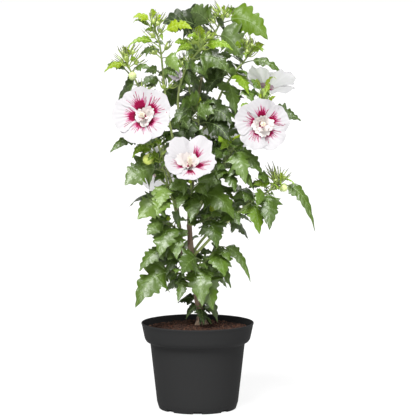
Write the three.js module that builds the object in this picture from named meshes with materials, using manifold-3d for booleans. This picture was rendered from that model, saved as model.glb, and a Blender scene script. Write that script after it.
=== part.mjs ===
import * as THREE from 'three';
import Module from 'manifold-3d';
import { mergeVertices } from 'three/addons/utils/BufferGeometryUtils.js';

// A double hibiscus with a red heart, grown as a shrub in its 19 cm nursery pot.
// Millimetres, +Z up, the front towards -Y, the origin at the centre of the pot's underside.

const CLEAR = 0.3;
const JOIN_TOLERANCE = 0.05;
const MERGE_DISTANCE = 1e-4;
const TIP_PLACE = 0.98;
const RIM_RADIUS = 95;
const POT_HEIGHT = 146.7;
const GROUND = 142;
const STEM_FOOT = [6, 0];
const CROWN_SEED = 1907;

const POT = {
  footRadius: 64.6,
  heelRadius: 66,
  heelHeight: 3.2,
  wallFootRadius: 68.8,
  wallFootHeight: 12.6,
  neckRadius: 80,
  neckHeight: 111.7,
  shelfRadius: 84.5,
  shelfHeight: 114.6,
  bandRadius: 89.3,
  bandHeight: 119.4,
  lipDepth: 4,
  lipProud: 0.9,
  wall: 1.9,
  floor: 3,
  segments: 32,
  notches: 8,
  notchWidth: 16,
  notchHeight: 4.5,
  notchInner: 58,
};

const SOIL = {
  flatRadius: 24,
  rings: [[80, 5.2], [48, 2.6]],
  edgeDrop: 7.5,
  roughness: 2.2,
  sideGap: 0.45,
};

const TRUNK = {
  points: [[...STEM_FOOT, GROUND + CLEAR], [...STEM_FOOT, 157], [1, 0, 183], [-5, 1, 220]],
  root: 7.2,
  tip: 5.4,
  sides: 10,
  steps: 8,
  flare: 5.5,
  flareHeight: 7,
  buttresses: 3,
  buttressDepth: 0.22,
};

// Each bough tapers from its root to its tip, and leaves the limb named under from, at that
// limb's tip or at the place given along it.
const BOUGHS = [
  {
    name: 'bough_main', from: 'trunk', root: 5.2, tip: 4.4,
    points: [[-9, 0, 248], [-12, 0, 281], [-14, 0, 312]],
  },
  {
    name: 'bough_second', from: 'trunk', at: 0.87, root: 3.8, tip: 3.2,
    points: [[-15, 8, 234], [-25, 10, 265], [-29, 8, 300]],
  },
  {
    name: 'bough_low_right', from: 'bough_main', at: 0.41, root: 2.6, tip: 2,
    points: [[7, -10, 274], [38, -14, 307], [70, -18, 336]],
  },
  {
    name: 'bough_mid_left', from: 'bough_second', root: 3, tip: 2.7,
    points: [[-32, 0, 320], [-34, -7, 342]],
  },
  {
    name: 'bough_left', from: 'bough_mid_left', root: 2.5, tip: 1.9,
    points: [[-44, -10, 385], [-66, -17, 450], [-86, -14, 515]],
  },
  {
    name: 'bough_right', from: 'bough_main', root: 2.8, tip: 2.4,
    points: [[2, -8, 345], [17, -15, 372], [30, -20, 392]],
  },
  {
    name: 'bough_upper_right', from: 'bough_right', root: 2.2, tip: 1.9,
    points: [[47, -15, 425], [64, -14, 456]],
  },
  {
    name: 'bough_front', from: 'bough_main', root: 2.6, tip: 2.2,
    points: [[-12, -14, 328], [-9, -26, 346]],
  },
  {
    name: 'bough_centre', from: 'bough_main', root: 4, tip: 3.2,
    points: [[-12, 3, 352], [-7, 3, 400], [-4, 0, 440]],
  },
  {
    name: 'bough_leader', from: 'bough_centre', root: 2.7, tip: 1.9,
    points: [[1, 18, 488], [4, 34, 543], [22, 42, 610]],
  },
  {
    name: 'bough_top_right', from: 'bough_centre', root: 2.3, tip: 1.9,
    points: [[10, 1, 474], [29, 6, 509], [45, 12, 544]],
  },
  {
    name: 'bough_top_centre', from: 'bough_centre', at: 0.65, root: 2.3, tip: 1.9,
    points: [[-21, -4, 455], [-32, -14, 509], [-30, -22, 547]],
  },
  {
    name: 'bough_top_left', from: 'bough_centre', at: 0.53, root: 2.3, tip: 1.9,
    points: [[-34, 6, 432], [-47, -6, 486], [-54, -18, 534]],
  },
  {
    name: 'bough_back_left', from: 'bough_second', root: 2.6, tip: 2.1,
    points: [[-38, 32, 336], [-46, 54, 372]],
  },
  {
    name: 'bough_back_right', from: 'bough_main', root: 2.6, tip: 2.1,
    points: [[6, 28, 342], [26, 52, 376]],
  },
  {
    name: 'bough_back_low', from: 'bough_main', at: 0.47, root: 2.4, tip: 2,
    points: [[10, 26, 286], [34, 46, 306]],
  },
  {
    name: 'bough_back', from: 'bough_centre', root: 2.4, tip: 2,
    points: [[-8, 34, 470], [-12, 58, 505]],
  },
];

// Each foliage mass grows on one stem from the tip of a limb. Its marked leaves stand out in
// the crown: place along the stem, heading, rise and span. The rule adds the others, with
// their size, and their rise at the stem's root and tip. Globes are the fat buds and the
// spent bloom: place, heading, rise, span with the stalk, and radius.
const MASSES = [
  {
    name: 'foliage_low_left', from: 'trunk', at: 0.88,
    stem: [[-18, -8, 222], [-34, -12, 232]],
    marks: [
      [0.95, 215, -30, 95], [0.7, 250, 20, 38], [0.5, 245, -45, 50],
    ],
    leaves: 3, size: 62, rises: [-20, -10],
  },
  {
    name: 'foliage_low_front', from: 'trunk', at: 0.94,
    stem: [[1, -14, 236], [6, -24, 256]],
    marks: [
      [0.95, 240, -12, 64], [0.72, 252, -50, 78], [0.55, 306, -52, 88],
      [0.32, 235, -66, 66],
    ],
    leaves: 3, size: 58, rises: [-30, 5],
  },
  {
    name: 'foliage_low_right', from: 'trunk',
    stem: [[10, -6, 246], [34, -12, 276]],
    marks: [
      [0.85, 290, -30, 64], [1, 322, -38, 80], [0.6, 325, -40, 62],
    ],
    leaves: 3, size: 62, rises: [-20, 0],
  },
  {
    name: 'foliage_side_left', from: 'trunk', at: 0.96,
    stem: [[-20, -10, 244], [-40, -18, 274]],
    marks: [
      [1, 206, -28, 72], [0.8, 255, -45, 46], [0.9, 160, -5, 40],
    ],
    leaves: 2, size: 52, rises: [-20, 0],
  },
  {
    name: 'foliage_mid_left', from: 'bough_second',
    stem: [[-37, -8, 307], [-48, -18, 313]],
    marks: [
      [0.85, 250, -38, 66], [1, 215, -14, 52], [0.6, 285, -48, 62],
    ],
    leaves: 3, size: 56, rises: [-15, 15],
  },
  {
    name: 'foliage_mid_front', from: 'bough_main',
    stem: [[4, -16, 318], [28, -26, 326]],
    marks: [
      [1, 318, -4, 58], [0.8, 288, -38, 60], [0.5, 250, -42, 62],
      [0.9, 345, -26, 56],
    ],
    leaves: 3, size: 52, rises: [-20, 15],
  },
  {
    name: 'foliage_left', from: 'bough_mid_left',
    stem: [[-46, -22, 368], [-58, -32, 412], [-82, -32, 460]],
    marks: [
      [1, 200, -18, 70], [0.92, 225, -20, 48], [0.6, 212, -24, 84],
      [0.42, 250, -32, 56], [0.18, 206, -24, 72], [0.3, 240, -26, 68],
    ],
    leaves: 4, size: 54, rises: [-15, 20],
    globes: [[0.72, 221, 14, 38, 9.5]],
  },
  {
    name: 'foliage_left_tip', from: 'bough_left',
    stem: [[-98, -18, 545], [-112, -20, 573], [-118, -20, 590]],
    marks: [
      [0.75, 205, -10, 46], [0.35, 140, -30, 52],
    ],
    leaves: 3, size: 38, rises: [-10, 30], buds: 5,
    globes: [[0.5, 262, 14, 23, 7]],
  },
  {
    name: 'foliage_front', from: 'bough_front',
    stem: [[-9, -42, 362], [-10, -56, 380]],
    marks: [
      [0.5, 268, -30, 58], [0.45, 335, -14, 80], [0.85, 295, 0, 46],
      [0.6, 225, -15, 54], [0.95, 332, 12, 54],
    ],
    leaves: 3, size: 48, rises: [-25, 0],
  },
  {
    name: 'foliage_right_branch', from: 'bough_low_right',
    stem: [[90, -20, 353], [118, -23, 370], [136, -25, 382]],
    marks: [
      [0.62, 275, -46, 76], [0.8, 222, 35, 42], [1, 335, -38, 84],
      [0.3, 290, -42, 60], [0.42, 245, 5, 44],
    ],
    leaves: 4, size: 50, rises: [-25, 10], buds: 5,
    globes: [[0.93, 314, -8, 24, 6.5]],
  },
  {
    name: 'foliage_right', from: 'bough_right',
    stem: [[48, -30, 420], [62, -36, 446]],
    marks: [
      [0.3, 262, -14, 48], [0.9, 302, -50, 62], [0.7, 345, -25, 62],
      [0.45, 328, -32, 66], [0.22, 305, -30, 52], [0.72, 235, 40, 44],
    ],
    leaves: 3, size: 52, rises: [-15, 20],
  },
  {
    name: 'foliage_upper_right', from: 'bough_upper_right',
    stem: [[90, -6, 470], [116, -2, 490]],
    marks: [
      [1, 350, 0, 58], [0.6, 20, -10, 52], [0.95, 250, 60, 54],
    ],
    leaves: 3, size: 50, rises: [-10, 30],
  },
  {
    name: 'foliage_centre', from: 'bough_centre',
    stem: [[0, -12, 462], [2, -16, 486], [0, -14, 508]],
    marks: [
      [0.85, 330, -5, 66], [0.6, 322, -16, 68], [0.7, 225, -42, 60],
      [0.92, 188, -18, 54], [0.3, 310, -36, 56],
    ],
    leaves: 5, size: 56, rises: [-15, 25],
  },
  {
    name: 'foliage_top', from: 'bough_leader',
    stem: [[30, 44, 633], [44, 46, 659]],
    marks: [
      [0.25, 195, 24, 96], [0.5, 214, 42, 62], [0.18, 205, 0, 66],
      [0.75, 342, 2, 82], [0.4, 332, -18, 74],
    ],
    leaves: 3, size: 46, rises: [-5, 35], buds: 4,
  },
  {
    name: 'foliage_top_centre', from: 'bough_top_centre',
    stem: [[-18, -28, 578], [0, -34, 603], [10, -38, 620]],
    marks: [
      [0.8, 255, 72, 40], [0.7, 340, 5, 62], [0.45, 335, -12, 74],
      [0.95, 318, 32, 34],
    ],
    leaves: 4, size: 44, rises: [-20, 20], buds: 4,
    globes: [[0.1, 240, 32, 26, 9]],
  },
  {
    name: 'foliage_top_left', from: 'bough_top_left',
    stem: [[-58, -24, 577], [-63, -30, 618], [-74, -34, 653]],
    marks: [
      [0.75, 335, 16, 66], [0.95, 186, 24, 38], [0.6, 200, 4, 60],
      [0.5, 222, 6, 50], [0.45, 310, -22, 50], [0.12, 220, 4, 48],
    ],
    leaves: 4, size: 42, rises: [-15, 30], buds: 4,
  },
  {
    name: 'foliage_top_right', from: 'bough_top_right',
    stem: [[62, 20, 566], [80, 24, 588], [92, 26, 604]],
    marks: [
      [0.55, 350, -6, 84], [0.25, 204, 24, 66], [0.18, 222, -16, 54],
      [0.12, 286, -42, 66], [0.9, 30, 25, 34], [0.3, 320, -30, 56],
    ],
    leaves: 4, size: 44, rises: [-15, 30], buds: 5,
  },
  {
    name: 'foliage_back_left', from: 'bough_back_left',
    stem: [[-54, 70, 408], [-58, 80, 448]],
    leaves: 8, size: 62, rises: [-25, 25],
  },
  {
    name: 'foliage_back_right', from: 'bough_back_right',
    stem: [[36, 68, 412], [40, 78, 452]],
    leaves: 8, size: 62, rises: [-25, 25],
  },
  {
    name: 'foliage_back_low', from: 'bough_back_low',
    stem: [[48, 58, 322], [60, 68, 340]],
    leaves: 6, size: 58, rises: [-30, 15],
  },
  {
    name: 'foliage_back_foot', from: 'trunk', at: 0.94,
    stem: [[-12, 26, 238], [-18, 50, 262]],
    leaves: 6, size: 66, rises: [-35, 5],
  },
  {
    name: 'foliage_back', from: 'bough_back',
    stem: [[-14, 72, 540], [-8, 80, 580]],
    leaves: 8, size: 52, rises: [-25, 30], buds: 3,
  },
];

// Each bloom stands on its stalk from the tip of a limb and faces its heading and rise.
const BLOOMS = [
  {
    name: 'bloom_left', from: 'bough_left', centre: [-90, -62, 499],
    heading: 262, rise: 14, radius: 51, cup: 15, turn: 10,
  },
  {
    name: 'bloom_centre', from: 'bough_front', centre: [-12, -84, 424],
    heading: 268, rise: 38, radius: 46, cup: 30, turn: 40,
  },
  {
    name: 'bloom_right', from: 'bough_upper_right', centre: [107, -60, 485],
    heading: 274, rise: 4, radius: 48, cup: 12, turn: 22,
  },
  {
    name: 'bloom_top_right', from: 'bough_upper_right', centre: [116, 18, 546],
    heading: 60, rise: 60, radius: 48, cup: 22, turn: 0,
  },
  {
    name: 'bloom_back_left', from: 'bough_back_left', centre: [-66, 118, 392],
    heading: 98, rise: 18, radius: 44, cup: 18, turn: 30,
  },
  {
    name: 'bloom_back_right', from: 'bough_back_right', centre: [42, 122, 438],
    heading: 76, rise: 22, radius: 43, cup: 18, turn: 15,
  },
];

const STEM = { root: 2, tip: 1.1, sides: 3, stepLength: 24, leastSteps: 3, boughSides: 6 };

// A leaf, its lengths as shares of its span: half widths along the midrib, the fold down from
// the midrib and the arch from stalk to tip. Nudges and turns in degrees free a leaf that
// would meet a neighbour, and shrink is what each of them takes off its span.
const LEAF = {
  stalkHalf: 0.9,
  thick: 1.3,
  fold: 0.2,
  arch: 0.19,
  middle: 0.6,
  halves: [[0, 0.013], [0.24, 0.045], [0.44, 0.34], [0.6, 0.21], [1, 0]],
  nudges: [0, 8, -8, 16, -16, 24, -24, 32, -32],
  nudgeShrink: 0.98,
  turns: Array.from({ length: 9 }, (_, attempt) => 43 * attempt),
  turnShrink: 0.95,
};

// How the rule deals out its leaves up a stem.
const RULE = {
  goldenTurn: 137.5,
  firstPlace: 0.2,
  riseSpread: 20,
  spanSpread: [0.85, 1.15],
  spanUpStem: [1.1, 0.75],
  markTwist: 0.5,
  leafTwist: 1,
};

// Blades face outward from the crown's axis and up, and on the front half also to the front.
const LIGHT = { axis: [-5, 5], outward: 0.8, up: 0.45, front: 0.9, frontHalf: 25 };

// Room kept round the points of a leaf, limb, petal or bud, and where those points lie.
const GUARD = {
  blade: 2.6,
  stalk: 1,
  limb: 0.8,
  petal: 3.6,
  bud: 2.4,
  ownShare: 0.45,
  reach: 12,
  limbStep: 5,
  stalkPlaces: [0.1, 0.2],
  bladePlaces: [0.3, 0.37, 0.44, 0.52, 0.6, 0.68, 0.76, 0.88, 1],
  bladeShares: [-1, -0.66, -0.33, 0, 0.33, 0.66, 1],
  budPlaces: [0.5, 0.75, 1],
  petalShares: [0.2, 0.5, 0.8, 1],
};

// Leaves stay above the soil and over or outside the rim.
const LEDGE = { soilRadius: 70, overSoil: 5, overRim: 4, outside: 6 };

const BLOOM = {
  perPetal: 4,
  petals: 5,
  edge: [0.86, 1, 1, 0.88],
  rings: [0.48, 1],
  thick: 1.4,
  overlap: 5,
  cupPower: 0.8,
  stalk: 1.7,
  stalkBend: 0.35,
  stalkSunk: 3,
  calyx: [[1.7, -19], [6.4, -11.4], [8, 1.5]],
  calyxSides: 6,
  heart: [[3.5, -1], [13, 11], [4, 15]],
  heartSides: 5,
  columnLength: 27,
};

const BUD = {
  span: 24,
  spanSpread: [0.8, 1.15],
  rise: 62,
  riseSpread: 30,
  lowestPlace: 0.55,
  sides: 4,
  stations: [[0, 1], [0.5, 1], [0.75, 4.2]],
};

// A globe's outline: distance from its top and half width, as shares of its radius.
const GLOBE = {
  sides: 6,
  stalk: 1,
  outline: [[1.9, 0.45], [1.55, 0.83], [1, 1], [0.4, 0.78]],
};

const COLOURS = {
  plastic: [0x2c2d2e, 0.5],
  compost: [0x3a2418, 0.95],
  bark: [0x7a6553, 0.85],
  leaf: [0x3f6b35, 0.6],
  petal: [0xefe6f0, 0.7],
};

const wasm = await Module();
wasm.setup();
const UP = new THREE.Vector3(0, 0, 1);
const vector = ([x, y, z]) => new THREE.Vector3(x, y, z);
const smooth = (points) => new THREE.CatmullRomCurve3(points, false, 'catmullrom', 0.5);
const mix = (a, b, t) => a + (b - a) * t;
const spread = (range, t) => mix(range[0], range[1], t);

// Numbers from 0 to 1 in an order that depends on the seed alone.
function seeded(seed) {
  let state = seed >>> 0;
  return () => {
    state = (state + 0x6d2b79f5) >>> 0;
    let draw = state;
    draw = Math.imul(draw ^ (draw >>> 15), draw | 1);
    draw ^= draw + Math.imul(draw ^ (draw >>> 7), draw | 61);
    return ((draw ^ (draw >>> 14)) >>> 0) / 2 ** 32;
  };
}

function direction(heading, rise) {
  const turn = THREE.MathUtils.degToRad(heading);
  const lift = THREE.MathUtils.degToRad(rise);
  const flat = Math.cos(lift);
  return new THREE.Vector3(Math.cos(turn) * flat, Math.sin(turn) * flat, Math.sin(lift));
}

// Solids from geometry, and back to it

function toSolid(geometry) {
  const bare = geometry.clone();
  bare.deleteAttribute('normal');
  bare.deleteAttribute('uv');
  const merged = mergeVertices(bare, MERGE_DISTANCE);
  return new wasm.Manifold(new wasm.Mesh({
    numProp: 3,
    vertProperties: Float32Array.from(merged.attributes.position.array),
    triVerts: Uint32Array.from(merged.index.array),
  }));
}

function toGeometry(solid) {
  const { vertProperties, triVerts } = solid.getMesh();
  const geometry = new THREE.BufferGeometry();
  geometry.setAttribute('position', new THREE.BufferAttribute(Float32Array.from(vertProperties), 3));
  geometry.setIndex(Array.from(triVerts));
  geometry.computeVertexNormals();
  return geometry;
}

function meshSolid(points, faces) {
  const geometry = new THREE.BufferGeometry().setFromPoints(points);
  geometry.setIndex(faces);
  return toSolid(geometry);
}

// The largest body alone: loose scraps are dropped and sealed hollows filled.
function mainBody(solid) {
  const bodies = solid.decompose();
  const main = bodies.reduce((best, body) => (body.volume() > best.volume() ? body : best));
  return main.simplify(JOIN_TOLERANCE);
}

function ringOf(sides, pointAt) {
  return Array.from({ length: sides }, (_, side) => pointAt(2 * Math.PI * side / sides));
}

// A closed body through rings of points, each ring turning the same way about the line
// of travel, ending in a flat cap or in one tip point. The diagonals mirror each other from
// side to side, so that the two skins of a thin blade stay apart.
function loft(rings, tip) {
  const sides = rings[0].length;
  const points = rings.flat();
  const last = points.length - sides;
  const faces = [];
  for (let start = 0; start < last; start += sides) {
    for (let side = 0; side < sides; side++) {
      const a = start + side;
      const b = start + (side + 1) % sides;
      const [c, d] = [b + sides, a + sides];
      if (side % 2) faces.push(a, b, d, b, c, d);
      else faces.push(a, b, c, a, c, d);
    }
  }
  for (let side = 1; side + 1 < sides; side++) faces.push(0, side + 1, side);
  if (tip) {
    points.push(tip);
    for (let side = 0; side < sides; side++) {
      faces.push(last + side, last + (side + 1) % sides, points.length - 1);
    }
  } else {
    for (let side = 1; side + 1 < sides; side++) faces.push(last, last + side, last + side + 1);
  }
  return meshSolid(points, faces);
}

function tube(path, radiusAt, sides, steps, grow = 0) {
  const rings = [];
  const corner = grow / Math.cos(Math.PI / sides);
  let across = new THREE.Vector3(1, 0, 0);
  for (let step = 0; step <= steps; step++) {
    const t = step / steps;
    const along = path.getTangent(t);
    across = across.clone().addScaledVector(along, -across.dot(along)).normalize();
    const other = along.clone().cross(across);
    const centre = path.getPoint(t);
    if (step === 0) centre.addScaledVector(along, -grow);
    if (step === steps) centre.addScaledVector(along, grow);
    rings.push(ringOf(sides, (angle) => {
      const radius = radiusAt(t, angle) + corner;
      return centre.clone().addScaledVector(across, radius * Math.cos(angle))
        .addScaledVector(other, radius * Math.sin(angle));
    }));
  }
  return loft(rings);
}

// Places that are taken: points, each with the room that it guards round it

const taken = [];

function claim(owner, points) {
  const box = new THREE.Box3().setFromPoints(points.map((point) => point.at));
  taken.push({ owner, points, box: box.expandByScalar(GUARD.reach) });
}

function isFree(points, owner) {
  const box = new THREE.Box3().setFromPoints(points.map((point) => point.at));
  for (const other of taken) {
    if (other.owner === owner || !other.box.intersectsBox(box)) continue;
    const share = other.owner === leavesOf(owner) ? GUARD.ownShare : 1;
    for (const mine of points) {
      for (const theirs of other.points) {
        const room = (mine.room + theirs.room) * share;
        if (mine.at.distanceToSquared(theirs.at) < room * room) return false;
      }
    }
  }
  return true;
}

function leavesOf(name) {
  return `${name}_leaf`;
}

function clearOfPot(points) {
  return points.every(({ at }) => {
    const radius = Math.hypot(at.x, at.y);
    if (radius > RIM_RADIUS + LEDGE.outside) return true;
    return at.z > (radius > LEDGE.soilRadius ? POT_HEIGHT + LEDGE.overRim : GROUND + LEDGE.overSoil);
  });
}

// Limbs: trunk, boughs and the stems of the masses and blooms. A limb starts inside the one
// it leaves, and is cut back to stand clear of every limb that is there already.

const limbs = new Map();

function limbPath({ from, at = TIP_PLACE }, points) {
  return smooth([limbs.get(from).path.getPoint(at), ...points.map(vector)]);
}

function addLimb(name, path, radiusAt, sides, steps) {
  const count = Math.ceil(path.getLength() / GUARD.limbStep);
  const points = [];
  for (let step = 0; step <= count; step++) {
    points.push({ at: path.getPoint(step / count), room: radiusAt(step / count, 0) + GUARD.limb });
  }
  const box = new THREE.Box3().setFromPoints(points.map((point) => point.at)).expandByScalar(GUARD.reach);
  let solid = tube(path, radiusAt, sides, steps);
  for (const other of limbs.values()) {
    if (other.box.intersectsBox(box)) solid = solid.subtract(other.grown);
  }
  claim(name, points);
  limbs.set(name, { path, box, solid: mainBody(solid), grown: tube(path, radiusAt, sides, steps, CLEAR) });
}

function growTrunk() {
  const path = smooth(TRUNK.points.map(vector));
  const radiusAt = (t, angle) => {
    const height = path.getPoint(t).z - GROUND;
    const flare = Math.exp(-height / TRUNK.flareHeight);
    const buttress = 1 + TRUNK.buttressDepth * flare * Math.cos(TRUNK.buttresses * angle);
    return (mix(TRUNK.root, TRUNK.tip, t) + TRUNK.flare * flare) * buttress;
  };
  addLimb('trunk', path, radiusAt, TRUNK.sides, TRUNK.steps);
}

function growBough(bough) {
  const path = limbPath(bough, bough.points);
  const steps = Math.round(path.getLength() / STEM.stepLength);
  addLimb(bough.name, path, (t) => mix(bough.root, bough.tip, t), STEM.boughSides, steps);
}

function growStem(name, path, root, tip) {
  const steps = Math.max(STEM.leastSteps, Math.round(path.getLength() / STEM.stepLength));
  addLimb(name, path, (t) => mix(root, tip, t), STEM.sides, steps);
}

// A leaf: a stalk, then a three-lobed blade folded along its midrib, arched over to its tip

function facingAt(point) {
  const out = new THREE.Vector3(point.x - LIGHT.axis[0], point.y - LIGHT.axis[1], 0).normalize();
  if (point.y < LIGHT.frontHalf) out.y -= LIGHT.front;
  return out.normalize().multiplyScalar(LIGHT.outward).addScaledVector(UP, LIGHT.up);
}

function leafShape({ root, heading, rise, span, turnX, turnZ }) {
  const run = direction(heading, rise);
  const facing = facingAt(root.clone().addScaledVector(run, span * LEAF.middle));
  facing.x += turnX;
  facing.z += turnZ;
  const frameAt = (s) => {
    const lift = LEAF.arch * 4 * s * (1 - s);
    const slope = LEAF.arch * 4 * (1 - 2 * s);
    const centre = root.clone().addScaledVector(run, span * s).addScaledVector(UP, span * lift);
    const along = run.clone().addScaledVector(UP, slope).normalize();
    const face = facing.clone().addScaledVector(along, -facing.dot(along)).normalize();
    return { centre, across: face.clone().cross(along), face };
  };
  const at = (s, half) => {
    const { centre, across, face } = frameAt(s);
    return centre.addScaledVector(across, half).addScaledVector(face, -LEAF.fold * Math.abs(half));
  };
  return { frameAt, at };
}

function halfAt(s) {
  const next = LEAF.halves.findIndex(([place]) => place >= s);
  const [s0, half0] = LEAF.halves[next - 1];
  const [s1, half1] = LEAF.halves[next];
  return mix(half0, half1, (s - s0) / (s1 - s0));
}

function leafPoints(leaf) {
  const { at } = leafShape(leaf);
  const points = GUARD.stalkPlaces.map((s) => ({ at: at(s, 0), room: GUARD.stalk }));
  for (const s of GUARD.bladePlaces) {
    for (const share of GUARD.bladeShares) {
      points.push({ at: at(s, share * halfAt(s) * leaf.span), room: GUARD.blade });
    }
  }
  return points;
}

function leafSolid(leaf) {
  const { frameAt, at } = leafShape(leaf);
  const rings = LEAF.halves.slice(0, -1).map(([s, share]) => {
    const half = Math.max(LEAF.stalkHalf, share * leaf.span);
    const { centre, face } = frameAt(s);
    const top = centre.clone().addScaledVector(face, LEAF.thick / 2);
    const bottom = centre.clone().addScaledVector(face, -LEAF.thick / 2);
    return [at(s, half), top, at(s, -half), bottom];
  });
  return loft(rings, at(1, 0));
}

// The seeded rule: marked leaves first, then leaves in golden turns up the stem. A leaf
// that meets a limb or another blade is turned aside until it is free, or skipped.

function placeLeaf(mass, leaf, turns, shrink) {
  for (const [attempt, turn] of turns.entries()) {
    const span = leaf.span * shrink ** attempt;
    const tried = { ...leaf, heading: leaf.heading + turn, span };
    const points = leafPoints(tried);
    if (!isFree(points, mass.name) || !clearOfPot(points)) continue;
    claim(leavesOf(mass.name), points);
    mass.grown.push(leafSolid(tried));
    return;
  }
}

function twist(draw, most) {
  const [turnX, turnZ] = [draw(), draw()].map((value) => (value - 0.5) * most);
  return { turnX, turnZ };
}

function growMarked(mass) {
  const { path } = limbs.get(mass.name);
  const draw = seeded(mass.seed);
  for (const [t, heading, rise, span] of mass.marks ?? []) {
    const leaf = { root: path.getPoint(t), heading, rise, span, ...twist(draw, RULE.markTwist) };
    placeLeaf(mass, leaf, LEAF.nudges, LEAF.nudgeShrink);
  }
}

function growByRule(mass) {
  const { path } = limbs.get(mass.name);
  const draw = seeded(mass.seed + 1);
  const start = draw() * 360;
  for (let index = 0; index < mass.leaves; index++) {
    const t = mix(RULE.firstPlace, 1, (index + 0.5) / mass.leaves);
    const rise = spread(mass.rises, t) + (draw() - 0.5) * RULE.riseSpread;
    const turns = twist(draw, RULE.leafTwist);
    const heading = start + index * RULE.goldenTurn;
    const span = mass.size * spread(RULE.spanSpread, draw()) * spread(RULE.spanUpStem, t);
    placeLeaf(mass, { root: path.getPoint(t), heading, rise, span, ...turns }, LEAF.turns, LEAF.turnShrink);
  }
}

// Buds stand in a ring round the tip of their stem

function growBuds(mass) {
  const { path } = limbs.get(mass.name);
  const draw = seeded(mass.seed + 2);
  const start = draw() * 360;
  const count = mass.buds ?? 0;
  for (let index = 0; index < count; index++) {
    const root = path.getPoint(mix(1, BUD.lowestPlace, index / count));
    const run = direction(start + index * RULE.goldenTurn, BUD.rise - BUD.riseSpread * draw());
    const span = BUD.span * spread(BUD.spanSpread, draw());
    const pointAt = (s) => root.clone().addScaledVector(run, span * s);
    const points = GUARD.budPlaces.map((s) => ({ at: pointAt(s), room: GUARD.bud }));
    if (!isFree(points, mass.name)) continue;
    claim(leavesOf(mass.name), points);
    mass.grown.push(turnedOn(pointAt, run, BUD.stations, BUD.sides));
  }
}

function growGlobes(mass) {
  const { path } = limbs.get(mass.name);
  for (const [t, heading, rise, span, radius] of mass.globes ?? []) {
    const root = path.getPoint(t);
    const run = direction(heading, rise);
    const pointAt = (s) => root.clone().addScaledVector(run, span * s);
    const swell = GLOBE.outline.map(([fromTop, half]) => [1 - fromTop * radius / span, half * radius]);
    const stations = [[0, GLOBE.stalk], [swell[0][0] - GLOBE.stalk / span, GLOBE.stalk], ...swell];
    mass.grown.push(turnedOn(pointAt, run, stations, GLOBE.sides));
    claim(leavesOf(mass.name), [{ at: pointAt(1 - radius / span), room: radius }]);
  }
}

// A closed body turned about a line, through stations of place and radius, ending in a tip.
function turnedOn(pointAt, along, stations, sides) {
  const across = new THREE.Vector3().crossVectors(along, UP).normalize();
  const other = along.clone().cross(across);
  const rings = stations.map(([s, radius]) => ringOf(sides, (angle) => pointAt(s)
    .addScaledVector(across, radius * Math.cos(angle))
    .addScaledVector(other, radius * Math.sin(angle))));
  return loft(rings, pointAt(1));
}

// A bloom: stalk, calyx, a dish of five overlapping petals, the ruff and the column

function bloomFrame({ centre, heading, rise, cup }) {
  const axis = direction(heading, rise);
  const across = new THREE.Vector3().crossVectors(UP, axis).normalize();
  const other = axis.clone().cross(across);
  const throat = vector(centre).addScaledVector(axis, -cup / 2);
  const at = (radius, angle, height) => throat.clone().addScaledVector(axis, height)
    .addScaledVector(across, radius * Math.cos(angle)).addScaledVector(other, radius * Math.sin(angle));
  return { axis, at };
}

function petalPoint(bloom, at, share, sector, lift) {
  const within = sector % BLOOM.perPetal;
  const turn = THREE.MathUtils.degToRad(bloom.turn);
  const angle = turn + 2 * Math.PI * sector / (BLOOM.petals * BLOOM.perPetal);
  const radius = bloom.radius * share * mix(1, BLOOM.edge[within], share);
  const lap = BLOOM.overlap * share * (within / (BLOOM.perPetal - 1) - 0.5);
  return at(radius, angle, bloom.cup * share ** BLOOM.cupPower + lap + lift);
}

function corolla(bloom, at) {
  const sectors = BLOOM.petals * BLOOM.perPetal;
  const points = [];
  for (const lift of [0, -BLOOM.thick]) {
    points.push(at(0, 0, lift));
    for (const share of BLOOM.rings) {
      for (let sector = 0; sector < sectors; sector++) {
        points.push(petalPoint(bloom, at, share, sector, lift));
      }
    }
  }
  const under = points.length / 2;
  const faces = [];
  for (let sector = 0; sector < sectors; sector++) {
    const next = (sector + 1) % sectors;
    faces.push(0, 1 + sector, 1 + next, under, under + 1 + next, under + 1 + sector);
    for (let ring = 0; ring + 1 < BLOOM.rings.length; ring++) {
      const a = 1 + ring * sectors + sector;
      const b = 1 + ring * sectors + next;
      const [underA, underB] = [under + a, under + b];
      faces.push(a, a + sectors, b + sectors, a, b + sectors, b);
      faces.push(underA, underB + sectors, underA + sectors, underA, underB, underB + sectors);
    }
    const rim = 1 + (BLOOM.rings.length - 1) * sectors;
    const [a, b] = [rim + sector, rim + next];
    faces.push(a, under + a, under + b, a, under + b, b);
  }
  return meshSolid(points, faces);
}

function turned(at, profile, sides, tip) {
  const rings = profile.map(([radius, height]) => ringOf(sides, (angle) => at(radius, angle, height)));
  return loft(rings, tip && at(0, 0, tip));
}

function bloomSolid(bloom) {
  const { at } = bloomFrame(bloom);
  return mainBody(wasm.Manifold.union([
    limbs.get(bloom.name).solid,
    corolla(bloom, at),
    turned(at, BLOOM.calyx, BLOOM.calyxSides),
    turned(at, BLOOM.heart, BLOOM.heartSides, BLOOM.columnLength),
  ]));
}

function growBloomStalk(bloom) {
  const { axis, at } = bloomFrame(bloom);
  const foot = limbs.get(bloom.from).path.getPoint(1);
  const base = at(0, 0, BLOOM.calyx[0][1]);
  const bend = base.clone().addScaledVector(axis, -base.distanceTo(foot) * BLOOM.stalkBend);
  const path = smooth([foot, bend, base.clone().addScaledVector(axis, BLOOM.stalkSunk)]);
  growStem(bloom.name, path, BLOOM.stalk, BLOOM.stalk);
  const points = [];
  for (const share of GUARD.petalShares) {
    for (let sector = 0; sector < BLOOM.petals * BLOOM.perPetal; sector++) {
      points.push({ at: petalPoint(bloom, at, share, sector, 0), room: GUARD.petal });
    }
  }
  claim(bloom.name, points);
}

// The pot, open at the top, with notches round its foot, and the compost that fills it

function lathe(profile) {
  const outline = profile.map(([x, y]) => new THREE.Vector2(x, y));
  return new THREE.LatheGeometry(outline, POT.segments).rotateX(Math.PI / 2);
}

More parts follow.
